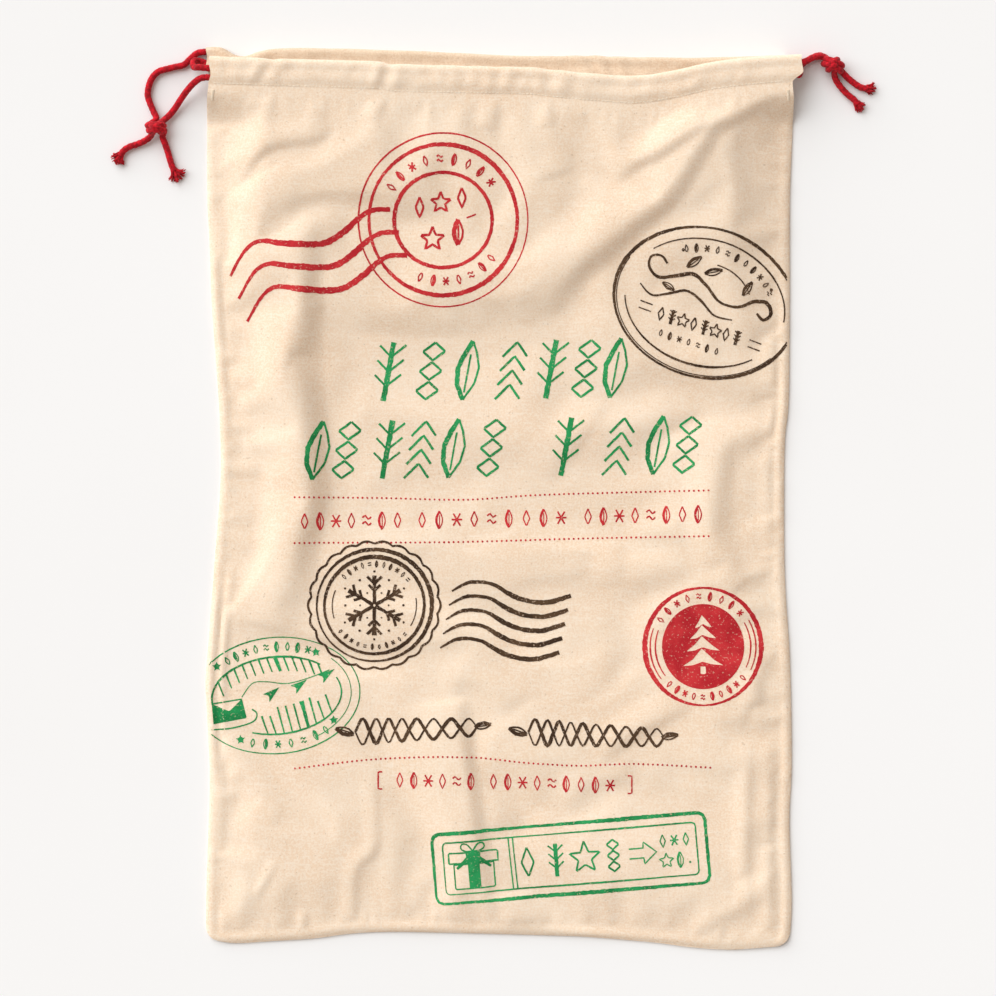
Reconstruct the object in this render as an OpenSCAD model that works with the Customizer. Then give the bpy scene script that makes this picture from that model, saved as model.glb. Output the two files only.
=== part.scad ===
// Drawstring mail sack, lying flat on its back panel.
// X runs across the sack, Y runs from the base to the mouth, and Z is up. The origin is on
// the surface that the sack lies on, under the middle of the sack without its free cord ends.

/* [Sack] */
// Width of the sack at its mouth and at its base
sack_w = 500; // [400:10:600]
// Length from the base corners to the fold of the back casing
sack_l = 772; // [600:4:900]
// How far each side draws in at half length
waist = 9; // [0:1:14]
// How far the middle of the base edge lies above its ends
base_arch = 12; // [0:1:16]
// Radius of the base corners
corner_r = 16; // [15:1:30]
// Thickness of one layer of canvas
cloth_t = 0.8; // [0.5:0.1:1]

/* [Casings] */
// Depth of a casing from its fold to its hem edge
casing_h = 27; // [27:1:40]
// How far the fold of the front casing lies below that of the back casing
set_back = 12; // [8:1:16]
// Clear height of the mouth between the two casings
mouth_gap = 5.5; // [5.3:0.1:12]
// How far each casing end stops short of the side of the sack
casing_inset = 4; // [3:1:10]

/* [Seams] */
// Width of the seam allowance inside the sack
allowance_w = 10; // [6:1:12]
// Width that the front panel takes to come down to the seam
slope_w = 14; // [12:1:14]
// Width of a line of stitching
thread_w = 0.6; // [0.4:0.1:1]
// Height of a line of stitching
thread_h = 0.4; // [0.3:0.1:0.6]

/* [Drawcords] */
// Diameter of the cotton cord
cord_d = 5.5; // [5:0.1:5.6]
// Free height round a cord in its casing
cord_play = 0.45; // [0.4:0.05:0.8]
// How far a drawcord slides before its loop meets the sack
cord_slack = 4; // [2:1:6]
// Diameter of the left knot
left_knot_d = 14; // [12:1:16]
// Diameter of the right knot
right_knot_d = 15; // [13:1:17]

/* [Hidden] */

CANVAS = [0.93, 0.85, 0.74];
CANVAS_INSIDE = [0.84, 0.72, 0.58];
THREAD = [0.95, 0.90, 0.80];
CORD = [0.80, 0.07, 0.10];

$fn = 48;
cord_sides = 10;
cord_r = cord_d / 2;

// Heights of the layers, from the surface up
casing_z = cord_d + 2 * cord_play + 2 * cloth_t;
front_z = casing_z + mouth_gap;
front_top = front_z + cloth_t;
run_back_z = casing_z / 2;
run_front_z = front_z + casing_z / 2;

// Places along the sack
back_fold_y = sack_l / 2;
front_fold_y = back_fold_y - set_back;
back_hem_y = back_fold_y - casing_h;
front_hem_y = front_fold_y - casing_h;
casing_end = sack_w / 2 - casing_inset;
seam_drop = 2;
seam_top_y = front_hem_y - seam_drop;

// Distances from a casing's fold to the two cord runs inside it
run_pitch = 12;
run_upper = casing_z / 2;
run_lower = run_upper + run_pitch;

// ---- Outline of the sewn sack ----
function side_x(y) = sack_w / 2 - waist * pow(cos(180 * y / sack_l), 2);
corner_c = [sack_w / 2 - corner_r, corner_r - sack_l / 2];
function base_y(x) = -sack_l / 2 + base_arch * (1 - pow(x / corner_c.x, 2));
side_steps = 12;
corner_steps = 5;
base_steps = 12;

function right_side(inset, top) = [
    for (i = [0:side_steps - 1])
        let (y = corner_c.y + (top - corner_c.y) * i / side_steps)
        [side_x(y) - inset, y],
    [side_x(top) - inset, top]
];
function right_corner(inset) = [
    for (i = [1:corner_steps - 1])
        let (a = 90 * i / corner_steps - 90)
        corner_c + (corner_r - inset) * [cos(a), sin(a)]
];
function base_line(inset) = [
    for (i = [0:base_steps])
        let (x = corner_c.x * (2 * i / base_steps - 1))
        [x, base_y(x) + inset]
];
function mirrored(points) = [for (i = [len(points) - 1:-1:0]) [-points[i].x, points[i].y]];
// From the top of the left side, round the base, to the top of the right side
function outline(inset, top) = concat(
    mirrored(right_side(inset, top)),
    mirrored(right_corner(inset)),
    base_line(inset),
    right_corner(inset),
    right_side(inset, top)
);

// ---- Sweeps ----
function at_height(points, z) = [for (p = points) [p.x, p.y, z]];

// Joins rings of equal length into one closed solid with flat ends
module skin(rings) {
    n = len(rings[0]);
    last = len(rings) - 1;
    points = [for (ring = rings) each ring];
    sides = [
        for (k = [0:last - 1], i = [0:n - 1])
            let (j = (i + 1) % n)
            each [
                [k * n + i, (k + 1) * n + i, (k + 1) * n + j],
                [k * n + i, (k + 1) * n + j, k * n + j]
            ]
    ];
    cap_a = [for (i = [0:n - 1]) i];
    cap_b = [for (i = [n - 1:-1:0]) last * n + i];
    polyhedron(concat(points), concat(sides, [cap_a, cap_b]));
}

// A strip whose section is a list of [inset, height] corners, along part of the outline
module edge_strip(section, from, to, top) {
    lines = [for (s = section) at_height(outline(s[0], top), s[1])];
    skin([for (i = [from:to]) [for (line = lines) line[i]]]);
}

// Points of a smooth curve through the route, steps of them on each stretch
function curve_at(a, b, c, d, t) =
    0.5 * (2 * b + (c - a) * t + (2 * a - 5 * b + 4 * c - d) * t * t
    + (3 * b - a - 3 * c + d) * t * t * t);
function smooth(route, steps) =
    let (last = len(route) - 1)
    concat([
        for (i = [0:last - 1], s = [0:steps - 1])
            curve_at(
                route[max(i - 1, 0)], route[i], route[i + 1],
                route[min(i + 2, last)], s / steps
            )
    ], [route[last]]);

function unit(v) = v / norm(v);
function heading(points, i) =
    unit(points[min(i + 1, len(points) - 1)] - points[max(i - 1, 0)]);

// Round cord along points; across is never parallel to the cord
module cord_tube(points, across) {
    skin([
        for (i = [0:len(points) - 1])
            let (u = unit(cross(heading(points, i), across)), v = cross(heading(points, i), u))
            [for (k = [0:cord_sides - 1])
                let (a = 360 * k / cord_sides)
                points[i] + cord_r * (cos(a) * u + sin(a) * v)]
    ]);
}

// ---- Panels ----
module back_panel() {
    color(CANVAS_INSIDE)
        linear_extrude(cloth_t)
            polygon(outline(0, back_hem_y));
}

// The front panel lies clear of the back one and slopes down to the seam on three sides
slope_h = front_top - cloth_t;
skin_w = cloth_t * norm([slope_w, slope_h]) / slope_h;
plateau_w = slope_w + skin_w - slope_w * cloth_t / slope_h;
module front_panel() {
    n = len(outline(0, front_hem_y));
    outer_foot = at_height(outline(0, front_hem_y), cloth_t);
    outer_top = at_height(outline(slope_w, front_hem_y), front_top);
    inner_top = at_height(outline(plateau_w, front_hem_y), front_z);
    inner_foot = at_height(outline(skin_w, front_hem_y), cloth_t);
    rings = [outer_foot, outer_top, inner_top, inner_foot];
    slopes = [
        for (pair = [[1, 0], [3, 2], [0, 3]], i = [0:n - 2])
            let (a = pair[0] * n + i, b = pair[1] * n + i)
            each [[a, a + 1, b + 1], [a, b + 1, b]]
    ];
    // The flat part, above and below: strips from side to side, then a fan from one hub
    over = n;
    under = 2 * n;
    hub_over = 4 * n;
    hub_under = hub_over + 1;
    fan_from = side_steps - 3;
    strips = [
        for (i = [0:fan_from - 1])
            let (j = n - 1 - i)
            each [
                [over + i, over + j, over + j - 1],
                [over + i, over + j - 1, over + i + 1],
                [under + i, under + j - 1, under + j],
                [under + i, under + i + 1, under + j - 1]
            ]
    ];
    fan = [
        [over + fan_from, over + n - 1 - fan_from, hub_over],
        [under + fan_from, hub_under, under + n - 1 - fan_from],
        for (i = [fan_from:n - 2 - fan_from])
            each [
                [over + i, hub_over, over + i + 1],
                [under + i, under + i + 1, hub_under]
            ]
    ];
    ends = [
        [0, 3 * n, 2 * n], [0, 2 * n, n],
        [n - 1, 2 * n - 1, 3 * n - 1], [n - 1, 3 * n - 1, 4 * n - 1],
        [n, 2 * n, 3 * n - 1], [n, 3 * n - 1, 2 * n - 1]
    ];
    hub_y = (outer_top[fan_from].y + outer_top[fan_from + 1].y) / 2;
    hubs = [[0, hub_y, front_top], [0, hub_y, front_z]];
    color(CANVAS)
        polyhedron([for (ring = rings) each ring, each hubs], concat(slopes, strips, fan, ends));
}

// ---- Casings: the folded top of each panel, open at both ends ----
ledge_w = 4;
ramp_w = 5;
fold_c = [casing_h - casing_z / 2, casing_z / 2];
fold_steps = 12;
function fold_arc(r) = [
    for (i = [0:fold_steps])
        let (a = 90 - 180 * i / fold_steps)
        fold_c + r * [cos(a), sin(a)]
];

module casing(hem_y, base_z) {
    outside = [[0, 0], [0, 2 * cloth_t], [ledge_w, 2 * cloth_t], [ledge_w + ramp_w, casing_z]];
    channel = [
        [ledge_w + cloth_t, cloth_t],
        [ledge_w + ramp_w + cloth_t / 2, casing_z - cloth_t]
    ];
    translate([-casing_end, hem_y, base_z])
        rotate([90, 0, 90])
            linear_extrude(2 * casing_end)
                difference() {
                    polygon(concat(outside, fold_arc(fold_c.y)));
                    polygon(concat(channel, fold_arc(fold_c.y - cloth_t)));
                }
}

module back_casing() {
    color(CANVAS_INSIDE)
        casing(back_hem_y, 0);
}

module front_casing() {
    color(CANVAS)
        casing(front_hem_y, front_z);
}

// ---- Seams: turned-in edges of both panels, inside the sack ----
seam_t = 2 * cloth_t;
seam_top = cloth_t + seam_t;
seam_gap = 0.1;
left_from = 0;
left_to = side_steps;
right_from = len(outline(0, seam_top_y)) - 1 - side_steps;
right_to = len(outline(0, seam_top_y)) - 1;
seam_section = [
    [skin_w + seam_gap, cloth_t],
    [skin_w + seam_gap + allowance_w, cloth_t],
    [skin_w + seam_gap + allowance_w, seam_top],
    [skin_w + seam_gap + seam_t * slope_w / slope_h, seam_top]
];
stitch_inset = 1;
stitch_in = seam_section[3][0] + stitch_inset;
stitch_section = [
    [stitch_in, seam_top],
    [stitch_in + thread_w, seam_top],
    [stitch_in + thread_w, seam_top + thread_h],
    [stitch_in, seam_top + thread_h]
];

module left_side_seam() {
    color(CANVAS)
        edge_strip(seam_section, left_from, left_to, seam_top_y);
}

module base_seam() {
    color(CANVAS)
        edge_strip(seam_section, left_to, right_from, seam_top_y);
}

module right_side_seam() {
    color(CANVAS)
        edge_strip(seam_section, right_from, right_to, seam_top_y);
}

module left_side_thread() {
    color(THREAD)
        edge_strip(stitch_section, left_from, left_to, seam_top_y);
}

module base_thread() {
    color(THREAD)
        edge_strip(stitch_section, left_to, right_from, seam_top_y);
}

module right_side_thread() {
    color(THREAD)
        edge_strip(stitch_section, right_from, right_to, seam_top_y);
}

// Hem stitching, on the ledge of each casing
hem_stitch_end = casing_end - 1;
module hem_thread(hem_y, base_z) {
    translate([-hem_stitch_end, hem_y + ledge_w / 2, base_z + seam_t])
        cube([2 * hem_stitch_end, thread_w, thread_h]);
}

module back_hem_thread() {
    color(THREAD)
        hem_thread(back_hem_y, 0);
}

module front_hem_thread() {
    color(THREAD)
        hem_thread(front_hem_y, front_z);
}

// Bar tacks that lock the top of each side seam
tack = [5, 1.5, 0.6];
tack_gap = 0.5;
tack_drop = 3;
tack_x = side_x(seam_top_y) - stitch_in - thread_w - tack_gap - tack.x;
tack_y = seam_top_y - tack_drop;
module left_bar_tack() {
    color(THREAD)
        translate([-tack_x - tack.x, tack_y, seam_top])
            cube(tack);
}

module right_bar_tack() {
    color(THREAD)
        translate([tack_x, tack_y, seam_top])
            cube(tack);
}

// ---- Drawcords ----
// Each cord goes through one casing, turns in a loop at the far end, and comes back through
// the other casing, so its two ends leave on the same side and are knotted together.
bight_r = (run_front_z - run_back_z) / 2;
bight_steps = 5;
run_steps = 8;
run_out = casing_end + cord_slack;

// The held length of a cord whose ends leave at x = -side * run_out
function held_route(side, back_y, front_y) =
    let (
        a = [side * run_out, back_y, run_back_z],
        b = [side * run_out, front_y, run_front_z],
        along = unit(b - a),
        out = [side, 0, 0]
    )
    concat(
        [for (i = [0:run_steps - 1]) [side * run_out * (2 * i / run_steps - 1), back_y, run_back_z]],
        [for (i = [0:bight_steps])
            let (t = 90 * i / bight_steps)
            a + bight_r * (sin(t) * out + (1 - cos(t)) * along)],
        [for (i = [0:bight_steps])
            let (t = 90 - 90 * i / bight_steps)
            b + bight_r * (sin(t) * out - (1 - cos(t)) * along)],
        [for (i = [1:run_steps]) [side * run_out * (1 - 2 * i / run_steps), front_y, run_front_z]]
    );

module held_cord(side, back_y, front_y) {
    points = held_route(side, back_y, front_y);
    rise = [0, front_y - back_y, run_front_z - run_back_z];
    // With one run straight above the other, the two halves of the loop share their middle point
    half = len(points) / 2;
    shared = norm(rise) < 2 * bight_r + 0.01;
    route = [for (i = [0:len(points) - 1]) if (!(shared && i == half)) points[i]];
    cord_tube(route, cross([1, 0, 0], rise));
}

// The left cord uses the outer runs and the right cord the inner ones
left_back_y = back_fold_y - run_upper;
left_front_y = front_fold_y - run_lower;
right_back_y = back_fold_y - run_lower;
right_front_y = front_fold_y - run_upper;

// Routes of the free ends, measured from the top corner of the sack on their own side;
// lie is the height of a cord's middle where it lies on the surface
lie = 3;
curve_steps = 2;
knot_bar = 5;
knot_lift = 0.1;
left_knot_turn = -15;
right_knot_turn = 55;
left_top = [-sack_w / 2, back_fold_y, 0];
right_top = [sack_w / 2, back_fold_y, 0];
left_out = [-run_out, left_back_y, run_back_z];
left_front_out = [-run_out, left_front_y, run_front_z];
right_out = [run_out, right_back_y, run_back_z];
right_front_out = [run_out, right_front_y, run_front_z];

left_back_points = [
    [-8, -6, 4], [-14, -10, lie], [-20, -15, lie], [-28, -17, lie], [-36, -19, lie], [-42, -21, lie],
    [-47, -26, lie], [-50, -33, lie], [-51, -41, lie], [-49, -48, lie], [-46, -55, 4], [-43.5, -62, 6]
];
left_front_points = [
    [-5, -29, 17], [-11, -33, 14.5], [-17, -39, 11], [-22, -45, 7.5], [-27, -52, 5], [-32, -58, 4],
    [-37, -63, 6]
];
left_knot_at = [-43, -70, left_knot_d / 2 + knot_lift];
left_back_tail_points = [
    [-38, -77, 5], [-36, -83, 4], [-34, -89, lie], [-32, -96, lie], [-30, -102, lie], [-28, -106, lie]
];
left_front_tail_points = [
    [-48, -76, 5], [-53, -80, 4], [-60, -83, lie], [-66, -85, lie], [-71, -88, lie], [-75, -93, lie]
];

right_back_points = [
    [8, -15, 3.2], [13, -12, lie], [18, -9, lie], [24, -7, lie], [29, -9, 5]
];
right_front_points = [
    [7, -15.5, 17.5], [13, -13, 15.5], [19, -10, 12.5], [25, -9, 10], [30, -11, 9]
];
right_knot_at = [35, -16, right_knot_d / 2 + knot_lift];
right_back_tail_points = [
    [42, -20, 5], [48, -25, 4], [54, -30, lie], [59, -33, lie], [63, -34, lie], [67, -34, lie]
];
right_front_tail_points = [
    [37, -24, 5], [40, -30, 4], [45, -35, lie], [50, -40, lie], [55, -44, lie], [57, -48, lie]
];

function moved(points, by) = [for (p = points) p + by];

module free_cord(route) {
    color(CORD)
        cord_tube(smooth(route, curve_steps), [0, 0, 1]);
}

// A knot is a short round-ended barrel on the line of its cords
module knot(at, d, turn) {
    color(CORD)
        translate(at)
            rotate([90, 0, turn])
                rotate_extrude()
                    intersection() {
                        union() {
                            translate([0, knot_bar / 2])
                                circle(d = d);
                            translate([0, -knot_bar / 2])
                                circle(d = d);
                            square([d, knot_bar], center = true);
                        }
                        translate([0, -d - knot_bar])
                            square(2 * (d + knot_bar));
                    }
}

module left_held_cord() {
    color(CORD)
        held_cord(1, left_back_y, left_front_y);
}

module left_back_strand() {
    free_cord(concat([left_out], moved(left_back_points, left_top)));
}

module left_front_strand() {
    free_cord(concat([left_front_out], moved(left_front_points, left_top)));
}

module left_knot() {
    knot(left_knot_at + left_top, left_knot_d, left_knot_turn);
}

module left_back_tail() {
    free_cord(moved(left_back_tail_points, left_top));
}

module left_front_tail() {
    free_cord(moved(left_front_tail_points, left_top));
}

module right_held_cord() {
    color(CORD)
        held_cord(-1, right_back_y, right_front_y);
}

module right_back_strand() {
    free_cord(concat([right_out], moved(right_back_points, right_top)));
}

module right_front_strand() {
    free_cord(concat([right_front_out], moved(right_front_points, right_top)));
}

module right_knot() {
    knot(right_knot_at + right_top, right_knot_d, right_knot_turn);
}

module right_back_tail() {
    free_cord(moved(right_back_tail_points, right_top));
}

module right_front_tail() {
    free_cord(moved(right_front_tail_points, right_top));
}

back_panel();
front_panel();
back_casing();
front_casing();
left_side_seam();
base_seam();
right_side_seam();
left_side_thread();
base_thread();
right_side_thread();
back_hem_thread();
front_hem_thread();
left_bar_tack();
right_bar_tack();
left_held_cord();
left_back_strand();
left_front_strand();
left_knot();
left_back_tail();
left_front_tail();
right_held_cord();
right_back_strand();
right_front_strand();
right_knot();
right_back_tail();
right_front_tail();
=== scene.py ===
"""Looks of the drawstring mail sack: canvas, cords, stitching and prints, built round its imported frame."""
import math
import random

import bpy
import numpy as np
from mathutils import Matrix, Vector, noise
from mathutils.bvhtree import BVHTree
from mathutils.geometry import delaunay_2d_cdt


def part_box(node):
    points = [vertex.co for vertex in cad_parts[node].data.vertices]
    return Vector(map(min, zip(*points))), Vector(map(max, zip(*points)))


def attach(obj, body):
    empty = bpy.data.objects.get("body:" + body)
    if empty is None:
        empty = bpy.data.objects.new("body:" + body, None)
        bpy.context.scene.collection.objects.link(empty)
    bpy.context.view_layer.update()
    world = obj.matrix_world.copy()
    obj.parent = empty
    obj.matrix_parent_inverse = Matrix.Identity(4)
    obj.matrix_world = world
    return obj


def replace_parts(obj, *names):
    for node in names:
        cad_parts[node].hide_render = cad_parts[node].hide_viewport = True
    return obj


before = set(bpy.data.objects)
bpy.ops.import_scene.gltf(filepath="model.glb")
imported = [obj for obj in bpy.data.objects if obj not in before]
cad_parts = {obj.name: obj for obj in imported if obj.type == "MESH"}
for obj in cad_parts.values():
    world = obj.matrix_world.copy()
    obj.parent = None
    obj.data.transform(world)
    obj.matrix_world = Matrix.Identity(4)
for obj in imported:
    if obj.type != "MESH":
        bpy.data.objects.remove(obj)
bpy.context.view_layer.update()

# ---- Sizes, in metres, from the frame ----
panel_low, panel_high = (np.array(c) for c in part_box("back_panel"))
back_low, back_high = (np.array(c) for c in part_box("back_casing"))
front_low, front_high = (np.array(c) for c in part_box("front_casing"))
CLOTH_T = panel_high[2] - panel_low[2]
CASING_END = front_high[0]
CORD_D = 0.0055
CORD_R = CORD_D / 2

# ---- Camera: straight above the sack, framed as a print of it would be ----
FRAME_W = 0.854
CAMERA_HEIGHT = 2.4
CAMERA_X = -0.001


def add_camera():
    data = bpy.data.cameras.new("camera")
    data.sensor_width = 36
    data.lens = data.sensor_width * CAMERA_HEIGHT / FRAME_W
    data.dof.use_dof = False
    camera = bpy.data.objects.new("camera", data)
    camera.location = (CAMERA_X, 0, CAMERA_HEIGHT)
    bpy.context.scene.collection.objects.link(camera)
    bpy.context.scene.camera = camera


add_camera()


# ---- Curves and meshes ----
def smooth(route, step):
    """Points about step apart on the smooth curve through the route."""
    route = np.array(route, dtype=float)
    ends = np.vstack([route[:1], route, route[-1:]])
    points = []
    for a, b, c, d in zip(ends, ends[1:], ends[2:], ends[3:]):
        for t in np.linspace(0, 1, 16, endpoint=False):
            points.append(
                b + 0.5 * t * (c - a + t * (2 * a - 5 * b + 4 * c - d + t * (3 * (b - c) + d - a)))
            )
    points.append(route[-1])
    return resample(np.array(points), step)


def resample(points, step):
    """The same line with its points evenly spaced, about step apart."""
    along = distance_along(points)
    count = max(2, int(round(along[-1] / step)) + 1)
    places = np.linspace(0, along[-1], count)
    return np.stack([np.interp(places, along, points[:, k]) for k in range(points.shape[1])], axis=1)


def distance_along(points):
    return np.concatenate([[0], np.cumsum(np.linalg.norm(np.diff(points, axis=0), axis=1))])


def through(points, at):
    """Heights of a smooth line through given (place, height) points."""
    line = smooth(points, 0.002)
    return np.interp(at, line[:, 0], line[:, 1])


def ease(low, high, at):
    t = np.clip((np.asarray(at) - low) / (high - low), 0, 1)
    return t * t * (3 - 2 * t)


def add_mesh(name, verts, faces, material, body):
    """A new piece that rides on a body and takes its finish from a material."""
    mesh = bpy.data.meshes.new(name)
    mesh.from_pydata([tuple(v) for v in verts], [], [tuple(f) for f in faces])
    mesh.polygons.foreach_set("use_smooth", [True] * len(mesh.polygons))
    mesh.materials.append(material)
    mesh.update()
    piece = bpy.data.objects.new(name, mesh)
    bpy.context.scene.collection.objects.link(piece)
    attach(piece, body)
    return piece


CRISP_ANGLE = 50


def thicken(piece, thickness, offset=0):
    """Gives a sheet its thickness, with crisp cut edges; offset -1 adds it all below the sheet."""
    solid = piece.modifiers.new("thickness", "SOLIDIFY")
    solid.thickness = thickness
    solid.offset = offset
    shape = bpy.data.meshes.new_from_object(piece.evaluated_get(bpy.context.evaluated_depsgraph_get()))
    piece.modifiers.remove(solid)
    piece.data = shape
    shape.set_sharp_from_angle(angle=math.radians(CRISP_ANGLE))


def grid_faces(rows, columns, closed=False):
    """Quads of a grid of points; closed joins its last column to its first."""
    faces = []
    for r in range(rows - 1):
        for c in range(columns if closed else columns - 1):
            d = (c + 1) % columns
            faces.append((r * columns + c, r * columns + d, (r + 1) * columns + d, (r + 1) * columns + c))
    return faces


def tube(points, radii, sides, relief=None):
    """Verts and faces of a closed tube along points; relief(angles, distance) scales its radius."""
    headings = np.gradient(points, axis=0)
    headings /= np.linalg.norm(headings, axis=1)[:, None]
    across = np.cross(headings[0], (0, 0, 1))
    if np.linalg.norm(across) < 0.1:
        across = np.cross(headings[0], (1, 0, 0))
    angles = np.arange(sides) * 2 * math.pi / sides
    rings = []
    for point, heading, radius, distance in zip(points, headings, radii, distance_along(points)):
        across = across - heading * across.dot(heading)
        across /= np.linalg.norm(across)
        up = np.cross(heading, across)
        scale = radius * (relief(angles, distance) if relief else np.ones(sides))
        ring = np.outer(scale * np.cos(angles), across) + np.outer(scale * np.sin(angles), up)
        rings.append(point + ring)
    verts = np.vstack(rings + [points[:1], points[-1:]])
    count = len(points)
    faces = [f[::-1] for f in grid_faces(count, sides, closed=True)]
    start, end = count * sides, count * sides + 1
    for k in range(sides):
        n = (k + 1) % sides
        faces.append((start, k, n))
        faces.append((end, (count - 1) * sides + n, (count - 1) * sides + k))
    return verts, faces


def join(parts):
    """One list of verts and faces from several."""
    verts, faces, base = [], [], 0
    for part_verts, part_faces in parts:
        verts.append(np.asarray(part_verts))
        faces.extend(tuple(i + base for i in f) for f in part_faces)
        base += len(part_verts)
    return np.vstack(verts), faces


# ---- Materials ----
class Nodes:
    """Builds one material's node tree, a few words at a time."""

    def __init__(self, name, roughness=0.9):
        self.material = bpy.data.materials.new(name)
        self.material.use_nodes = True
        self.tree = self.material.node_tree
        self.shader = self.tree.nodes["Principled BSDF"]
        self.shader.inputs["Roughness"].default_value = roughness
        self.shader.inputs["Specular IOR Level"].default_value = 0.2
        self.place = self.add("ShaderNodeTexCoord").outputs["Object"]

    def add(self, kind, inputs=(), **settings):
        node = self.tree.nodes.new(kind)
        for key, value in settings.items():
            setattr(node, key, value)
        for key, value in dict(inputs).items():
            if isinstance(value, bpy.types.NodeSocket):
                self.tree.links.new(value, node.inputs[key])
            else:
                node.inputs[key].default_value = value
        return node

    def scaled(self, scale):
        return self.add("ShaderNodeMapping", {"Vector": self.place, "Scale": scale}).outputs[0]

    def noise(self, scale, detail=2.0, stretch=(1, 1, 1)):
        inputs = {"Vector": self.scaled(stretch), "Scale": scale, "Detail": detail}
        return self.add("ShaderNodeTexNoise", inputs).outputs["Fac"]

    def math(self, operation, a, b=0.0):
        return self.add("ShaderNodeMath", {0: a, 1: b}, operation=operation).outputs[0]

    def between(self, value, low, high):
        """0 below low, 1 above high, and smooth between them."""
        inputs = {"Value": value, "From Min": low, "From Max": high}
        return self.add("ShaderNodeMapRange", inputs, interpolation_type="SMOOTHSTEP").outputs[0]

    def mix(self, amount, a, b):
        node = self.add("ShaderNodeMix", data_type="RGBA")
        for socket, value in zip((node.inputs[0], node.inputs[6], node.inputs[7]), (amount, a, b)):
            if isinstance(value, bpy.types.NodeSocket):
                self.tree.links.new(value, socket)
            else:
                socket.default_value = value
        return node.outputs[2]

    def bump(self, height, distance, strength=1.0):
        inputs = {"Height": height, "Distance": distance, "Strength": strength}
        node = self.add("ShaderNodeBump", inputs)
        if self.shader.inputs["Normal"].is_linked:
            self.tree.links.new(self.shader.inputs["Normal"].links[0].from_socket, node.inputs["Normal"])
        self.tree.links.new(node.outputs[0], self.shader.inputs["Normal"])

    def color(self, socket):
        self.tree.links.new(socket, self.shader.inputs["Base Color"])
        return self.material


THREAD_PITCH = 0.00055


def weave(nodes):
    """Plain weave: threads go over and under each other along X and Y, each with its own thickness."""
    turns = math.pi / THREAD_PITCH
    parts = nodes.add("ShaderNodeSeparateXYZ", {0: nodes.place})
    wobble = nodes.math("MULTIPLY", nodes.noise(180.0), 2.2)
    across = nodes.math("SINE", nodes.math("ADD", nodes.math("MULTIPLY", parts.outputs[0], turns), wobble))
    along = nodes.math("SINE", nodes.math("ADD", nodes.math("MULTIPLY", parts.outputs[1], turns), wobble))
    return nodes.math("ABSOLUTE", nodes.math("MULTIPLY", across, along))


def canvas(name, base, shade, light):
    """Unbleached cotton canvas: slubs, flecks and tone that changes from place to place, with painted shade
    in the gaps between its threads.
    """
    nodes = Nodes(name, roughness=0.93)
    nodes.shader.inputs["Sheen Weight"].default_value = 0.12
    nodes.shader.inputs["Sheen Roughness"].default_value = 0.6
    threads = weave(nodes)
    tone = nodes.noise(14.0, 4.0)
    weft = nodes.noise(90.0, 3.0, stretch=(1, 7, 1))
    warp = nodes.noise(90.0, 3.0, stretch=(7, 1, 1))
    grain = nodes.noise(620.0, 3.0)
    flecks = nodes.between(nodes.noise(420.0, 1.0), 0.69, 0.76)
    color = nodes.mix(nodes.between(tone, 0.3, 0.7), base, shade)
    color = nodes.mix(nodes.math("MULTIPLY", nodes.between(weft, 0.5, 0.75), 0.7), color, light)
    color = nodes.mix(nodes.math("MULTIPLY", nodes.between(warp, 0.5, 0.75), 0.7), color, shade)
    color = nodes.mix(nodes.math("MULTIPLY", nodes.between(grain, 0.42, 0.62), 0.6), color, light)
    # Darker in the gaps between the threads: painted shade of the weave.
    color = nodes.mix(nodes.math("ADD", nodes.math("MULTIPLY", threads, 0.4), 0.6), shade, color)
    color = nodes.mix(nodes.math("MULTIPLY", flecks, 0.3), color, (0.42, 0.27, 0.15, 1))
    nodes.bump(threads, 0.00018, 0.7)
    nodes.bump(nodes.math("ADD", weft, warp), 0.0004, 0.35)
    return nodes.color(color)


CANVAS = canvas("canvas", (0.93, 0.755, 0.575, 1), (0.88, 0.665, 0.475, 1), (0.99, 0.88, 0.745, 1))
# A darker copy of the canvas for the back casing: painted shade of the sack's mouth, behind the front
# casing's fold.
CANVAS_PAINTED_SHADE = canvas("canvas_painted_shade", (0.84, 0.655, 0.475, 1), (0.74, 0.53, 0.36, 1), (0.92, 0.77, 0.60, 1))


def yarn(name, deep, bright):
    """Cotton yarn: fine fibres along and across the cord."""
    nodes = Nodes(name, roughness=0.8)
    nodes.shader.inputs["Sheen Weight"].default_value = 0.1
    nodes.shader.inputs["Sheen Roughness"].default_value = 0.5
    lumps = nodes.noise(420.0, 3.0)
    fibres = nodes.noise(1500.0, 2.0)
    color = nodes.mix(nodes.between(lumps, 0.35, 0.65), deep, bright)
    color = nodes.mix(nodes.math("MULTIPLY", nodes.between(fibres, 0.55, 0.7), 0.3), color, bright)
    nodes.bump(fibres, 0.0003, 0.6)
    return nodes.color(color)


CORD = yarn("red_cord", (0.29, 0.0022, 0.008, 1), (0.60, 0.0045, 0.016, 1))
THREAD = yarn("sewing_thread", (0.87, 0.74, 0.57, 1), (0.97, 0.88, 0.74, 1))


# ---- Drawcords ----
LEFT_TOP = np.array((panel_low[0], back_high[1], 0))
RIGHT_TOP = np.array((panel_high[0], back_high[1], 0))
RUN_OUT = panel_high[0]
BACK_RUN_Z = 0.004
FRONT_RUN_Z = front_low[2] + BACK_RUN_Z
BRAID_PITCH = 0.0042
BRAID_COLUMNS = 4


def braid(angles, distance):
    """Two sets of strands that wind opposite ways round the cord."""
    turn = 2 * math.pi * distance / BRAID_PITCH
    one = np.abs(np.sin((BRAID_COLUMNS * angles + turn) / 2))
    other = np.abs(np.sin((BRAID_COLUMNS * angles - turn) / 2))
    return 0.91 + 0.12 * np.maximum(one, other) ** 2


def moved(points, by):
    return [np.array(p) + by for p in points]


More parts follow.
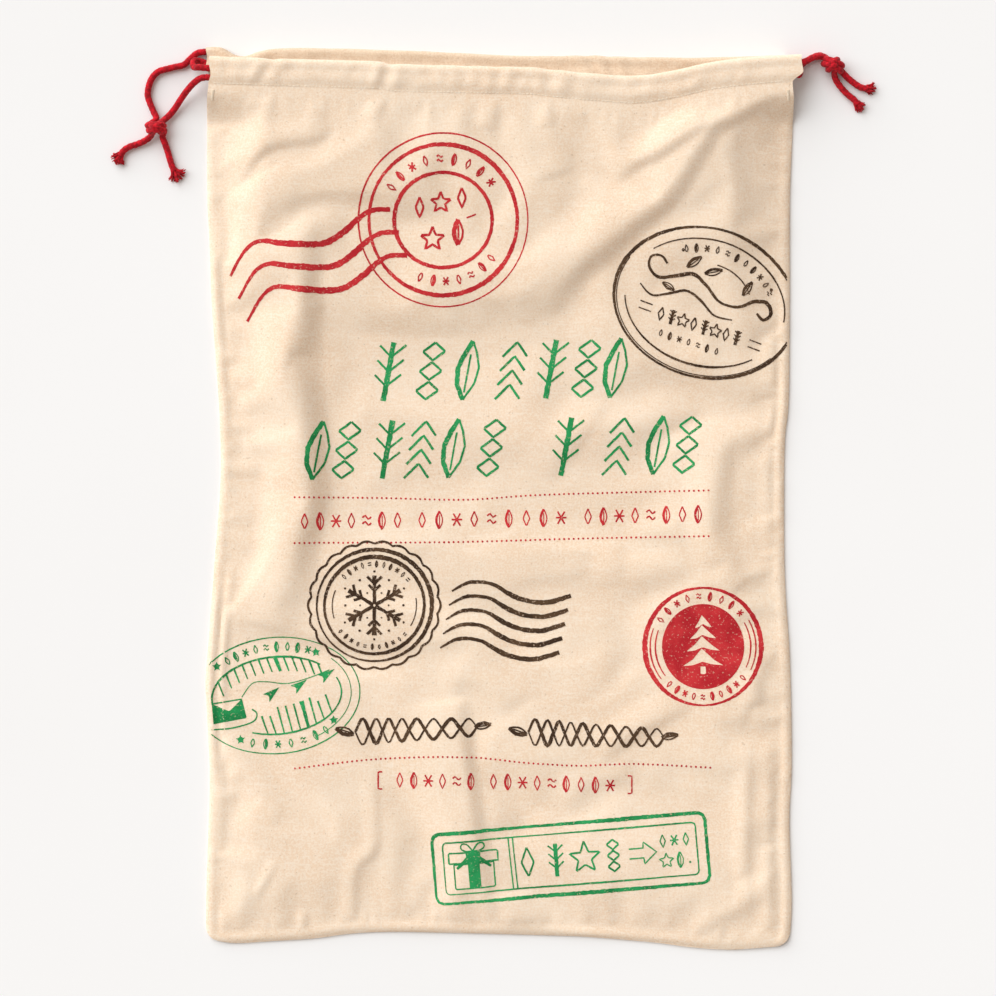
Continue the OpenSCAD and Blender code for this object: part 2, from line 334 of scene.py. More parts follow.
# Routes of the free ends, from the top corner of the sack on their own side
left_back_points = [
    (-0.008, -0.0050, 0.0036), (-0.014, -0.0095, 0.0031), (-0.020, -0.015, 0.0031), (-0.028, -0.017, 0.0031),
    (-0.036, -0.019, 0.0031), (-0.042, -0.021, 0.0031), (-0.047, -0.026, 0.0031), (-0.050, -0.033, 0.0031),
    (-0.051, -0.041, 0.0031), (-0.049, -0.048, 0.0031), (-0.046, -0.055, 0.004), (-0.0435, -0.062, 0.006),
]
left_front_points = [
    (-0.005, -0.029, 0.017), (-0.011, -0.033, 0.0145), (-0.017, -0.039, 0.011), (-0.022, -0.045, 0.0075),
    (-0.027, -0.052, 0.005), (-0.032, -0.058, 0.004), (-0.037, -0.063, 0.006),
]
left_knot_at = (-0.043, -0.070, 0.0092)
left_back_tail_points = [
    (-0.038, -0.077, 0.005), (-0.036, -0.083, 0.004), (-0.034, -0.089, 0.0031), (-0.032, -0.096, 0.0031),
    (-0.030, -0.102, 0.0031), (-0.028, -0.106, 0.0031),
]
left_front_tail_points = [
    (-0.048, -0.076, 0.005), (-0.053, -0.080, 0.004), (-0.060, -0.083, 0.0031), (-0.066, -0.085, 0.0031),
    (-0.071, -0.088, 0.0031), (-0.075, -0.093, 0.0031),
]
right_back_points = [
    (0.008, -0.015, 0.0032), (0.013, -0.012, 0.0031), (0.018, -0.009, 0.0031), (0.024, -0.007, 0.0031),
    (0.029, -0.009, 0.005),
]
right_front_points = [
    (0.007, -0.0155, 0.0175), (0.013, -0.013, 0.0155), (0.019, -0.010, 0.0125), (0.025, -0.009, 0.010),
    (0.030, -0.011, 0.009),
]
right_knot_at = (0.035, -0.016, 0.0092)
right_back_tail_points = [
    (0.043, -0.021, 0.005), (0.048, -0.026, 0.004), (0.053, -0.030, 0.0031), (0.058, -0.0335, 0.0031),
    (0.062, -0.035, 0.0031), (0.066, -0.0355, 0.0031),
]
right_front_tail_points = [
    (0.037, -0.025, 0.005), (0.040, -0.031, 0.004), (0.044, -0.036, 0.0031), (0.049, -0.041, 0.0031),
    (0.054, -0.045, 0.0031), (0.057, -0.049, 0.0031),
]
left_out = (-RUN_OUT, 0.382, BACK_RUN_Z)
left_front_out = (-RUN_OUT, 0.358, FRONT_RUN_Z)
right_out = (RUN_OUT, 0.370, BACK_RUN_Z)
right_front_out = (RUN_OUT, 0.370, FRONT_RUN_Z)

# The cord's share of its own width: less in the casings, where the cloth leaves little room, and in a knot
WIDTH_IN_CASING = 0.93
WIDTH_IN_KNOT = 0.96
KNOT_REACH = 0.0100


def wraps(centre, axis_angle, from_angle, to_angle, knot_length, wide, tall):
    """A cord's turns round the axis of a knot, from its strand side to its tail side."""
    axis_angle = math.radians(axis_angle)
    axis = np.array((-math.sin(axis_angle), math.cos(axis_angle), 0))
    side = wide * np.array((math.cos(axis_angle), math.sin(axis_angle), 0))
    up = tall * np.array((0, 0, 1))
    points = []
    for t in np.linspace(0, 1, 1 + round(abs(to_angle - from_angle) / 30)):
        a = math.radians(from_angle + (to_angle - from_angle) * t)
        points.append(centre + axis * knot_length * (0.5 - t) + math.cos(a) * side + math.sin(a) * up)
    return points


def add_cord(name, route, body, knot=None):
    """A braided cord along a route, made a little thinner in the casings and in its knot."""
    line = smooth(route, 0.0006)
    outside = ease(CASING_END - 0.006, CASING_END + 0.002, np.abs(line[:, 0]))
    radii = CORD_R * (WIDTH_IN_CASING + (1 - WIDTH_IN_CASING) * outside)
    if knot is not None:
        reach = np.linalg.norm(line - knot, axis=1)
        radii *= WIDTH_IN_KNOT + (1 - WIDTH_IN_KNOT) * ease(KNOT_REACH * 0.7, KNOT_REACH * 1.3, reach)
    verts, faces = tube(line, radii, 20, braid)
    return add_mesh(name, verts, faces, CORD, body), line


def add_tuft(name, line, body, count, length, spread, seed):
    """The frayed end of a cord: loose yarns that fan out from it and lie on the surface."""
    chance = random.Random(seed)
    end, heading = line[-1], line[-1] - line[-8]
    heading = heading / np.linalg.norm(heading)
    side = np.array((-heading[1], heading[0], 0))
    yarns = []
    for k in range(count):
        fan = (k + 0.5) / count * 2 - 1
        lift = chance.uniform(-0.9, 0.9)
        start = end - heading * 0.003 + side * fan * CORD_R * 0.95
        start = start + np.array((0, 0, lift * CORD_R * 0.6))
        reach = length * chance.uniform(0.7, 1.1) * (1 - 0.25 * abs(fan))
        turn = spread * (fan + chance.uniform(-0.25, 0.25))
        curl = chance.uniform(-0.35, 0.35)
        points = []
        for t in np.linspace(0, 1, 7):
            bend = turn * t + curl * t * t
            step = heading * math.cos(bend) + side * math.sin(bend)
            points.append((points[-1] if points else start) + step * reach / 7)
            points[-1][2] = max(0.0006, start[2] + t * (lift * 0.0012 - 0.0008))
        thickness = chance.uniform(0.0005, 0.0008)
        yarns.append(tube(np.array(points), np.linspace(thickness, thickness * 0.7, 7), 6))
    verts, faces = join(yarns)
    return add_mesh(name, verts, faces, CORD, body)


def add_free_cord(name, out, strand, tail, top, knot_at, wound, tuft, length, nodes):
    """One free end: its strand, its way through the knot and its tail, with the frayed tip."""
    body = name.split("_")[0] + "_drawcord"
    centre = np.array(knot_at) + top
    route = [np.array(out)] + moved(strand, top) + wraps(centre, *wound) + moved(tail, top)
    piece, line = add_cord(name, route, body, centre)
    frayed = add_tuft(name + "_tuft", line, body, *tuft)
    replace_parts(piece, *nodes)


# Each free end: its name, where it leaves the casing, its strand, its tail, the sack's corner and its knot;
# its way round the knot (tilt, first and last angle in degrees, then length, width and height); its tuft
# (yarns, length, spread, seed); its whole length; and the nodes that it replaces
FREE_CORDS = [
    ("left_back_cord", left_out, left_back_points, left_back_tail_points, LEFT_TOP,
     left_knot_at, (8, 180, -360, 0.0068, 0.0066, 0.0048), (44, 0.013, 1.35, 3), 0.19,
     ["left_back_strand", "left_knot", "left_back_tail"]),
    ("left_front_cord", left_front_out, left_front_points, left_front_tail_points, LEFT_TOP,
     left_knot_at, (-45, 90, -270, 0.0030, 0.0056, 0.0062), (40, 0.011, 1.25, 5), 0.15,
     ["left_front_strand", "left_front_tail"]),
    ("right_back_cord", right_out, right_back_points, right_back_tail_points, RIGHT_TOP,
     right_knot_at, (-15, 180, -360, 0.0070, 0.0078, 0.0048), (40, 0.010, 0.8, 7), 0.13,
     ["right_back_strand", "right_knot", "right_back_tail"]),
    ("right_front_cord", right_front_out, right_front_points, right_front_tail_points, RIGHT_TOP,
     right_knot_at, (40, 90, -270, 0.0030, 0.0056, 0.0062), (36, 0.010, 0.7, 11), 0.123,
     ["right_front_strand", "right_front_tail"]),
]
for cord_facts in FREE_CORDS:
    add_free_cord(*cord_facts)


# ---- How the cloth lies ----
CORNER_R = 0.013
SEAM_Z = 0.0013
HEM_Z = front_low[2] + 0.0062
BACK_LIFT = 0.0002
CASING_DEPTH = back_high[1] - back_low[1]
FRONT_DEPTH = 0.9 * CASING_DEPTH
SLIT_FROM, SLIT_TO = 0.318, 0.346

# The side edges from base to mouth, as measured at even steps along a sack: (y, x)
LEFT_EDGE = [
    (-0.386, -0.251), (-0.330, -0.2505), (-0.245, -0.2478), (-0.190, -0.2498), (-0.156, -0.2513),
    (-0.122, -0.2487), (-0.055, -0.2437), (0.015, -0.2385), (0.067, -0.2392), (0.101, -0.2412),
    (0.170, -0.2462), (0.221, -0.2480), (0.256, -0.2497), (0.324, -0.2497), (0.352, -0.2470),
]
RIGHT_EDGE = [
    (-0.386, 0.248), (-0.345, 0.2504), (-0.276, 0.2484), (-0.225, 0.2504), (-0.139, 0.2488),
    (-0.070, 0.2446), (-0.002, 0.2438), (0.050, 0.2446), (0.084, 0.2478), (0.170, 0.2487),
    (0.255, 0.2488), (0.324, 0.2512), (0.352, 0.2495),
]
# The base edge from left to right, measured in the same way: (x, y)
BASE_EDGE = [
    (-0.252, -0.379), (-0.235, -0.3812), (-0.200, -0.3792), (-0.166, -0.3772), (-0.132, -0.3730),
    (-0.098, -0.3714), (-0.046, -0.3722), (0.057, -0.3748), (0.091, -0.3765), (0.142, -0.3808),
    (0.177, -0.3850), (0.211, -0.3868), (0.250, -0.3842),
]
# The folds of the two casings from left to right: (x, y)
FRONT_FOLD = [
    (-0.260, 0.3765), (-0.243, 0.3760), (-0.170, 0.3735), (-0.104, 0.3716), (-0.095, 0.3703),
    (-0.077, 0.3690), (0.018, 0.3670), (0.043, 0.3650), (0.080, 0.3615), (0.116, 0.3595),
    (0.151, 0.3645), (0.181, 0.3710), (0.218, 0.3757), (0.260, 0.3785),
]
BACK_FOLD = [
    (-0.260, 0.3855), (-0.246, 0.3857), (-0.236, 0.3860), (-0.226, 0.3800), (-0.215, 0.3800),
    (-0.191, 0.3846), (-0.145, 0.3850), (-0.055, 0.3820), (0.017, 0.3785), (0.080, 0.3790),
    (0.100, 0.3780), (0.153, 0.3770), (0.200, 0.3776), (0.246, 0.3793), (0.260, 0.3795),
]

# Folds of the front panel. Each has the line of its shaded side, then the width of that side at the
# line's start and end, the width of its lit side, and its height before FOLD_GAIN.
FOLDS = [
    # The long fold from the right casing end, which splits in two
    ([(0.251, 0.354), (0.224, 0.334), (0.190, 0.316), (0.175, 0.297), (0.148, 0.256), (0.111, 0.224),
      (0.069, 0.189), (0.027, 0.142)], (0.013, 0.026), 0.045, 0.0042),
    ([(0.178, 0.318), (0.138, 0.292), (0.118, 0.283), (0.100, 0.269)], (0.010, 0.012), 0.022, 0.0026),
    ([(0.028, 0.268), (0.065, 0.281)], (0.006, 0.006), 0.020, 0.0007),
    ([(0.068, 0.268), (0.091, 0.248)], (0.007, 0.007), 0.012, 0.0006),
    # The left side
    ([(-0.216, 0.275), (-0.195, 0.297), (-0.155, 0.304), (-0.142, 0.315)], (0.008, 0.009), 0.022, 0.0015),
    ([(-0.189, 0.283), (-0.171, 0.248), (-0.160, 0.221), (-0.160, 0.118), (-0.154, 0.047), (-0.155, -0.002),
      (-0.169, -0.070), (-0.183, -0.117)], (0.026, 0.030), 0.040, 0.0056),
    ([(-0.237, 0.287), (-0.237, 0.138)], (0.012, 0.012), 0.008, 0.0012),
    ([(-0.228, 0.136), (-0.228, -0.053)], (0.016, 0.018), 0.010, 0.0010),
    # The middle and the right side
    ([(0.097, 0.086), (0.045, 0.014)], (0.015, 0.018), 0.030, 0.0018),
    ([(0.197, 0.067), (0.193, -0.002), (0.197, -0.041), (0.216, -0.070)], (0.020, 0.022), 0.028, 0.0026),
    ([(0.238, 0.050), (0.235, -0.002), (0.238, -0.053)], (0.008, 0.008), 0.014, 0.0012),
    ([(0.103, -0.036), (0.103, -0.075)], (0.015, 0.015), 0.020, 0.0010),
    # The base
    ([(-0.032, -0.171), (-0.022, -0.239), (-0.014, -0.302), (-0.004, -0.363)], (0.018, 0.016), 0.062, 0.0034),
    ([(-0.105, -0.226), (-0.104, -0.298), (-0.120, -0.318), (-0.122, -0.363)], (0.007, 0.007), 0.014, 0.0008),
    ([(0.164, -0.180), (0.111, -0.208), (0.089, -0.227)], (0.013, 0.015), 0.024, 0.0018),
    ([(0.217, -0.149), (0.226, -0.175)], (0.012, 0.012), 0.018, 0.0012),
    ([(0.027, -0.336), (0.031, -0.372)], (0.030, 0.040), 0.030, 0.0022),
    ([(-0.206, -0.343), (-0.189, -0.312)], (0.004, 0.005), 0.008, 0.0007),
    ([(-0.165, -0.353), (-0.165, -0.370)], (0.005, 0.005), 0.008, 0.0008),
    ([(-0.236, -0.220), (-0.236, -0.308)], (0.005, 0.005), 0.008, 0.0007),
    ([(0.216, -0.208), (0.214, -0.290), (0.216, -0.370)], (0.007, 0.008), 0.014, 0.0010),
    ([(0.234, -0.208), (0.233, -0.290), (0.234, -0.370)], (0.006, 0.006), 0.010, 0.0008),
    # Under the front casing, where it is bunched
    ([(-0.096, 0.343), (-0.104, 0.318)], (0.008, 0.010), 0.014, 0.0012),
    ([(0.000, 0.338), (-0.004, 0.312)], (0.010, 0.012), 0.016, 0.0012),
    ([(0.043, 0.338), (0.047, 0.316)], (0.009, 0.010), 0.014, 0.0010),
    ([(0.130, 0.335), (0.158, 0.352)], (0.006, 0.006), 0.014, 0.0008),
    ([(-0.244, 0.331), (-0.236, 0.322)], (0.005, 0.005), 0.008, 0.0010),
    ([(-0.246, 0.316), (-0.234, 0.310)], (0.005, 0.005), 0.008, 0.0010),
]
LIGHT_WAY = np.array((-0.75, 0.66))
FOLD_GAIN = 1.45


def fold_height(line, shade_widths, lit_width, height, x, y):
    """One fold: a gentle rise on the side of the light, a crest, and a steeper shaded side."""
    line = smooth(line, 0.004)
    chord = line[-1] - line[0]
    away = np.array((-chord[1], chord[0]))
    if away.dot(LIGHT_WAY) > 0:
        away = -away
        turn = -1
    else:
        turn = 1
    best = np.full(x.shape, 1.0)
    place = np.zeros(x.shape)
    offset = np.zeros(x.shape)
    pieces = len(line) - 1
    for k in range(pieces):
        step = line[k + 1] - line[k]
        length2 = step.dot(step)
        t = np.clip(((x - line[k, 0]) * step[0] + (y - line[k, 1]) * step[1]) / length2, 0, 1)
        dx = x - line[k, 0] - t * step[0]
        dy = y - line[k, 1] - t * step[1]
        distance = np.hypot(dx, dy)
        nearer = distance < best
        side = np.sign(step[0] * dy - step[1] * dx) * turn
        best = np.where(nearer, distance, best)
        place = np.where(nearer, (k + t) / pieces, place)
        offset = np.where(nearer, distance * side, offset)
    shade = shade_widths[0] + (shade_widths[1] - shade_widths[0]) * place
    lit = 0.5 + 0.5 * np.cos(math.pi * np.clip((offset + shade / 2) / lit_width, -1, 0))
    dark = 0.5 + 0.5 * np.cos(math.pi * np.clip((offset + shade / 2) / shade, 0, 1))
    profile = np.where(offset < -shade / 2, lit, dark)
    along = np.sin(math.pi * np.clip(place, 0.001, 0.999)) ** 0.5
    beyond = np.where((place <= 0) | (place >= 1), np.exp(-((best / shade_widths[1]) ** 2)), 1)
    return FOLD_GAIN * height * profile * along * beyond


def ripple(x, y, seed, size):
    """Soft unevenness in rises about as wide as size, from -1 to 1."""
    places = zip(np.ravel(x) / size, np.ravel(y) / size)
    heights = [noise.noise(Vector((a, b, seed * 7.3))) for a, b in places]
    return np.reshape(heights, np.shape(x))


def front_hem(x):
    return through(FRONT_FOLD, x) - FRONT_DEPTH


def back_hem(x):
    return np.full(np.shape(x), back_low[1])


def panel_place(u, v, hem):
    """Where a point of a panel lies: u runs from its left edge to its right, v from its base to its hem."""
    x = panel_low[0] + (panel_high[0] - panel_low[0]) * u
    base = through(BASE_EDGE, x)
    y = base + v * (hem(x) - base)
    rounding = CORNER_R - np.sqrt(CORNER_R ** 2 - np.clip(CORNER_R - (y - base), 0, CORNER_R) ** 2)
    left = through(LEFT_EDGE, y) + rounding
    right = through(RIGHT_EDGE, y) - rounding
    return left + (right - left) * u, y


def edge_distance(x, y):
    sides = np.minimum(x - through(LEFT_EDGE, y), through(RIGHT_EDGE, y) - x)
    return np.maximum(np.minimum(sides, y - through(BASE_EDGE, x)), 0)


def front_height(x, y):
    """Height of the front panel's middle: rolled at its seams, folded, and lifted towards the casing."""
    edge = edge_distance(x, y)
    slit = ease(SLIT_FROM, SLIT_TO, y)
    flat = SEAM_Z + 0.0018 * (1 - np.exp(-edge / 0.0015)) + 0.0010 * ease(0, 0.07, edge)
    lift = ease(-0.05, 0.352, y) ** 1.3 * (ease(0, 0.055, edge) * (1 - slit) + slit)
    folds = sum(fold_height(*fold, x, y) for fold in FOLDS)
    uneven = 0.0016 * ripple(x, y, 4, 0.09) + 0.0007 * ripple(x, y, 9, 0.032)
    loose = ease(0, 0.016, edge) * (1 - ease(0.312, 0.352, y))
    by_seam = np.exp(-edge / 0.011) * ease(0, 0.002, edge)
    pucker = 0.0011 * ripple(x * 0.3, y, 12, 0.014) * by_seam * (1 - lift)
    return flat + (HEM_Z - flat) * lift + (folds + uneven) * loose + pucker


def back_height(x, y):
    """Height of the back panel's middle, which rests on the surface with soft rises in it."""
    rise = np.clip(0.0014 * (0.2 + ripple(x, y, 21, 0.10)), 0, None)
    return CLOTH_T / 2 + BACK_LIFT + rise * ease(0.01, 0.05, edge_distance(x, y)) * (1 - ease(0.30, 0.35, y))


def spaced(length, step, start=(), end=()):
    """Places from 0 to 1 along a length: closer together at its ends, as start and end say."""
    first = start[-1] if start else 0
    last = length - (end[-1] if end else 0)
    middle = np.linspace(first, last, 1 + round((last - first) / step))
    places = [*start[:-1], *middle, *[length - e for e in end[-2::-1]]]
    return np.array(places) / length


def grid(us, vs, hem, height):
    u, v = np.meshgrid(us, vs)
    x, y = panel_place(u, v, hem)
    return np.stack([x, y, height(x, y)], axis=-1)


def blended(coarse, us, vs):
    """Values between the points of an even grid."""
    rows, columns = coarse.shape[:2]
    u, v = np.meshgrid(us * (columns - 1), vs * (rows - 1))
    c, r = np.minimum(u.astype(int), columns - 2), np.minimum(v.astype(int), rows - 2)
    fu, fv = (u - c)[..., None], (v - r)[..., None]
    below = coarse[r, c] * (1 - fu) + coarse[r, c + 1] * fu
    above = coarse[r + 1, c] * (1 - fu) + coarse[r + 1, c + 1] * fu
    return below * (1 - fv) + above * fv


SEAM_STEPS = (0, 0.0006, 0.0013, 0.0022, 0.0034, 0.005)
CLOTH_STEP = 0.0026
SIM_STEP = 0.005
SIM_FRAMES = 16
SIM_REACH = 0.003
# A shrink below zero makes the cloth grow, and the group pins it at its sewn edges
CLOTH_SETTINGS = {
    "quality": 5, "mass": 0.3, "tension_stiffness": 20, "compression_stiffness": 20, "shear_stiffness": 8,
    "bending_stiffness": 12, "shrink_min": -0.006, "vertex_group_mass": "firm", "pin_stiffness": 0.6,
}


def simple_mesh(name, points):
    """A bare grid mesh, for the simulation only."""
    rows, columns = points.shape[:2]
    mesh = bpy.data.meshes.new(name)
    mesh.from_pydata([tuple(p) for p in points.reshape(-1, 3)], [], grid_faces(rows, columns))
    piece = bpy.data.objects.new(name, mesh)
    bpy.context.scene.collection.objects.link(piece)
    return piece


def buckled(points, under):
    """How far a sheet's points move as its cloth grows and buckles between its sewn edges, gravity off."""
    cloth_piece = simple_mesh("settling_cloth", points)
    ground = simple_mesh("settling_ground", under)
    ground.modifiers.new("collision", "COLLISION")
    ground.collision.thickness_outer = 0.001
    edge = edge_distance(points[..., 0], points[..., 1])
    hem = front_hem(points[..., 0]) - points[..., 1]
    firm = 1 - 0.88 * ease(0.002, 0.02, np.minimum(edge, hem))
    group = cloth_piece.vertex_groups.new(name="firm")
    for i, weight in enumerate(firm.reshape(-1)):
        group.add([i], float(weight), "REPLACE")
    cloth = cloth_piece.modifiers.new("cloth", "CLOTH")
    for key, value in CLOTH_SETTINGS.items():
        setattr(cloth.settings, key, value)
    cloth.settings.effector_weights.gravity = 0
    cloth.collision_settings.distance_min = 0.0012
    scene = bpy.context.scene
    scene.frame_start, scene.frame_end = 1, SIM_FRAMES
    for number in range(1, SIM_FRAMES + 1):
        scene.frame_set(number)
    shape = cloth_piece.evaluated_get(bpy.context.evaluated_depsgraph_get()).to_mesh()
    after = np.empty(len(shape.vertices) * 3)
    shape.vertices.foreach_get("co", after)
    for piece in (cloth_piece, ground):
        bpy.data.objects.remove(piece)
    scene.frame_set(1)
    move = after.reshape(points.shape) - points
    far = np.linalg.norm(move, axis=-1, keepdims=True)
    return move * np.minimum(1, SIM_REACH / np.maximum(far, 1e-9))


def add_sheet(name, points):
    """A panel from its grid of points, made as thick as its cloth."""
    rows, columns = points.shape[:2]
    piece = add_mesh(name, points.reshape(-1, 3), grid_faces(rows, columns), CANVAS, "sack")
    thicken(piece, CLOTH_T)
    return piece


def make_panels():
    width, length = panel_high[0] - panel_low[0], panel_high[1] - panel_low[1]
    us = spaced(width, CLOTH_STEP, SEAM_STEPS, SEAM_STEPS)
    vs = spaced(length, CLOTH_STEP, SEAM_STEPS)
    back_us = spaced(width, 2 * CLOTH_STEP, SEAM_STEPS, SEAM_STEPS)
    back_vs = spaced(length, 2 * CLOTH_STEP, SEAM_STEPS)
    back = grid(back_us, back_vs, back_hem, back_height)
    front = grid(us, vs, front_hem, front_height)
    even_us = np.linspace(0, 1, 1 + round(width / SIM_STEP))
    even_vs = np.linspace(0, 1, 1 + round(length / SIM_STEP))
    design = grid(even_us, even_vs, front_hem, front_height)
    under = grid(np.linspace(0, 1, 51), np.linspace(0, 1, 75), back_hem, back_height)
    front = front + blended(buckled(design, under), us, vs)
    front[..., 2] = np.maximum(front[..., 2], SEAM_Z)
    return add_sheet("front_sheet", front), add_sheet("back_sheet", back)


front_sheet, back_sheet = make_panels()
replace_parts(front_sheet, "front_panel")
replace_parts(back_sheet, "back_panel")


# ---- Casings: each panel's top, folded over the two cord runs and sewn down ----
# Across a casing, from the hem round the fold and back: distance from the hem, height
FRONT_SECTION = [
    (0.0, 0.0049), (0.0016, 0.0032), (0.0040, 0.0010), (0.0080, 0.0004), (0.0160, 0.0004), (0.0230, 0.0004),
    (0.0255, 0.0014), (0.0266, 0.0040), (0.0258, 0.0066), (0.0236, 0.0079), (0.0205, 0.0081),
    (0.0160, 0.0077), (0.0120, 0.0078), (0.0080, 0.0077), (0.0045, 0.0071), (0.0020, 0.0065), (0.0, 0.0062),
]
BACK_SECTION = [
    (0.0, 0.0004), (0.0050, 0.0004), (0.0100, 0.0004), (0.0160, 0.0004), (0.0200, 0.0004), (0.0230, 0.0004),
    (0.0255, 0.0014), (0.0266, 0.0040), (0.0257, 0.0068), (0.0232, 0.0079), (0.0200, 0.0075),
    (0.0170, 0.0071), (0.0140, 0.0074), (0.0110, 0.0079), (0.0080, 0.0080), (0.0055, 0.0074),
    (0.0032, 0.0052), (0.0015, 0.0026), (0.0, 0.0013),
]
# Puckers that the cord draws into a casing: place, width, depth, lean
FRONT_PUCKERS = [
    (-0.232, 0.006, 0.0008, 0.2), (-0.199, 0.006, 0.0024, 0.5), (-0.187, 0.005, 0.0010, -0.5),
    (-0.096, 0.006, 0.0032, 0.25), (-0.085, 0.008, -0.0010, 0.1), (-0.058, 0.008, 0.0010, -0.1),
    (-0.030, 0.006, 0.0012, 0.1), (0.000, 0.007, 0.0022, -0.2), (0.014, 0.006, 0.0012, 0.25),
    (0.042, 0.006, 0.0015, 0.0), (0.065, 0.007, 0.0014, 0.2), (0.095, 0.010, 0.0008, -0.2),
    (0.142, 0.007, 0.0014, -0.8), (0.158, 0.006, 0.0008, -0.9), (0.215, 0.006, 0.0008, 0.1),
    (0.236, 0.005, 0.0008, 0.2),
]
BACK_PUCKERS = [
    (-0.240, 0.006, 0.0012, 0.3), (-0.226, 0.008, 0.0030, 0.6), (-0.208, 0.006, 0.0012, -0.6),
    (-0.150, 0.010, 0.0008, 0.2), (-0.100, 0.012, 0.0008, 0.1), (-0.040, 0.010, 0.0008, -0.3),
    (0.060, 0.010, 0.0010, -0.6), (0.082, 0.006, 0.0018, -0.6), (0.098, 0.006, 0.0018, -0.5),
    (0.112, 0.007, 0.0012, 0.3), (0.160, 0.010, 0.0008, 0.4),
]
# How far a casing's outer layer reaches past its end: side, at the hem, at the fold
FRONT_FLARES = [(1, 0.0038, 0.0118), (-1, 0.0012, 0)]
BACK_FLARES = [(-1, 0, 0.0045)]


def add_casing(name, section, fold, reach, base_z, puckers, material, seed, flares):
    """A casing: its section carried from end to end, bent to its fold line and drawn in by puckers."""
    profile = smooth(section, 0.0013)
    stations = np.linspace(-CASING_END, CASING_END, 1 + round(2 * CASING_END / 0.0016))
    s, x = np.meshgrid(profile[:, 0], stations)
    z = np.meshgrid(profile[:, 1], stations)[0]
    top = ease(0.0028, 0.0066, z)
    s = s * reach / CASING_DEPTH
    y = through(fold, x) - reach + s
    drawn, ridge = np.zeros(x.shape), np.zeros(x.shape)
    for at, width, depth, lean in puckers:
        place = (x - at - lean * (s - reach / 2)) / width
        drawn += depth * np.exp(-(place ** 2))
        ridge += depth * (np.exp(-((place + 1.3) ** 2)) + 0.6 * np.exp(-((place - 1.4) ** 2)))
    middle = np.sin(math.pi * np.clip(s / reach, 0, 1)) ** 0.8
    uneven = 0.0008 * ripple(x, s * 2, seed, 0.030) + 0.0006 * ripple(x, s, seed + 1, 0.011)
    ends = ease(0.0, 0.012, CASING_END - np.abs(x))
    z = z + (ridge * 0.5 - drawn * 0.18) * top * middle * (0.35 + 0.65 * ends) + uneven * top * middle * ends
    y = y - 0.35 * drawn * ease(0.018, 0.026, s) * ends
    for side, hem_flare, fold_flare in flares:
        spread = hem_flare + (fold_flare - hem_flare) * ease(0.001, 0.4 * reach, s)
        x = x + side * spread * ease(CASING_END - 0.03, CASING_END, side * x) * ease(0.0018, 0.0060, z)
    x = x + 0.0008 * np.sin(s * 260 + seed) * (1 - ends)
    points = np.stack([x, y, base_z + z], axis=-1)
    rows, columns = points.shape[:2]
    faces = [f[::-1] for f in grid_faces(rows, columns)]
    piece = add_mesh(name, points.reshape(-1, 3), faces, material, "sack")
    thicken(piece, CLOTH_T)
    return piece


front_hem_fold = add_casing(
    "front_casing_fold", FRONT_SECTION, FRONT_FOLD, FRONT_DEPTH, front_low[2], FRONT_PUCKERS,
    CANVAS, 31, FRONT_FLARES,
)
# The back casing takes the darker canvas, which is painted shade.
back_hem_fold = add_casing(
    "back_casing_fold", BACK_SECTION, BACK_FOLD, CASING_DEPTH, back_low[2], BACK_PUCKERS,
    CANVAS_PAINTED_SHADE, 41, BACK_FLARES,
)
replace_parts(front_hem_fold, "front_casing")
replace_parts(back_hem_fold, "back_casing")


# ---- The held length of each drawcord, inside the casings ----
RUN_CLEAR = 0.0010
# From the back run to the front one: reach past the casing, share of the way across, share of the way up
LOOP = [
    (0.0030, 0.0, 0.10), (0.0058, 0.05, 0.32), (0.0068, 0.5, 0.5), (0.0058, 0.95, 0.68), (0.0030, 1.0, 0.90),
]
RUN_POINTS = 26


def held_route(side, back_line, front_line, loop_x, lean):
    """Out along the back casing, round the loop at the side, and home along the front casing."""
    places = np.linspace(-side * RUN_OUT, side * loop_x, RUN_POINTS)
    inwards = RUN_CLEAR * ease(0, 0.012, CASING_END - np.abs(places))
    runs = []
    for line, z in ((back_line, BACK_RUN_Z), (front_line, FRONT_RUN_Z)):
        runs.append(np.stack([places, through(line, places) - inwards, np.full(RUN_POINTS, z)], axis=1))
    back_run, front_run = runs[0], runs[1][::-1]
    start, end = back_run[-1], front_run[0]
    out = np.array((side, lean, 0)) / math.hypot(1, lean)
    loop = []
    for reach, across, up in LOOP:
        loop.append(start + (end - start) * (across, across, up) + reach * out)
    return np.vstack([back_run, loop, front_run])


# Where each run lies in its casing: (x, y), near the fold or near the hem
LEFT_BACK_RUN = [
    (-0.252, 0.382), (-0.246, 0.3815), (-0.226, 0.3755), (-0.212, 0.3755), (-0.190, 0.3795), (-0.145, 0.3805),
    (-0.055, 0.3775), (0.017, 0.3740), (0.080, 0.3740), (0.153, 0.3725), (0.215, 0.3737), (0.252, 0.3758),
]
LEFT_FRONT_RUN = [
    (-0.252, 0.358), (-0.246, 0.3582), (-0.200, 0.3590), (-0.104, 0.3556), (0.018, 0.3510), (0.060, 0.3475),
    (0.116, 0.3435), (0.151, 0.3485), (0.181, 0.3550), (0.218, 0.3598), (0.252, 0.3605),
]
RIGHT_BACK_RUN = [
    (-0.252, 0.3735), (-0.240, 0.3710), (-0.226, 0.3645), (-0.200, 0.3660), (-0.145, 0.3690),
    (-0.055, 0.3660), (0.017, 0.3625), (0.080, 0.3625), (0.153, 0.3610), (0.215, 0.3645),
    (0.246, 0.3692), (0.252, 0.370),
]
RIGHT_FRONT_RUN = [
    (-0.252, 0.3665), (-0.240, 0.3655), (-0.200, 0.3685), (-0.104, 0.3664), (-0.080, 0.3648),
    (0.018, 0.3626), (0.060, 0.3595), (0.116, 0.3555), (0.151, 0.3605), (0.181, 0.3665),
    (0.218, 0.3695), (0.252, 0.370),
]


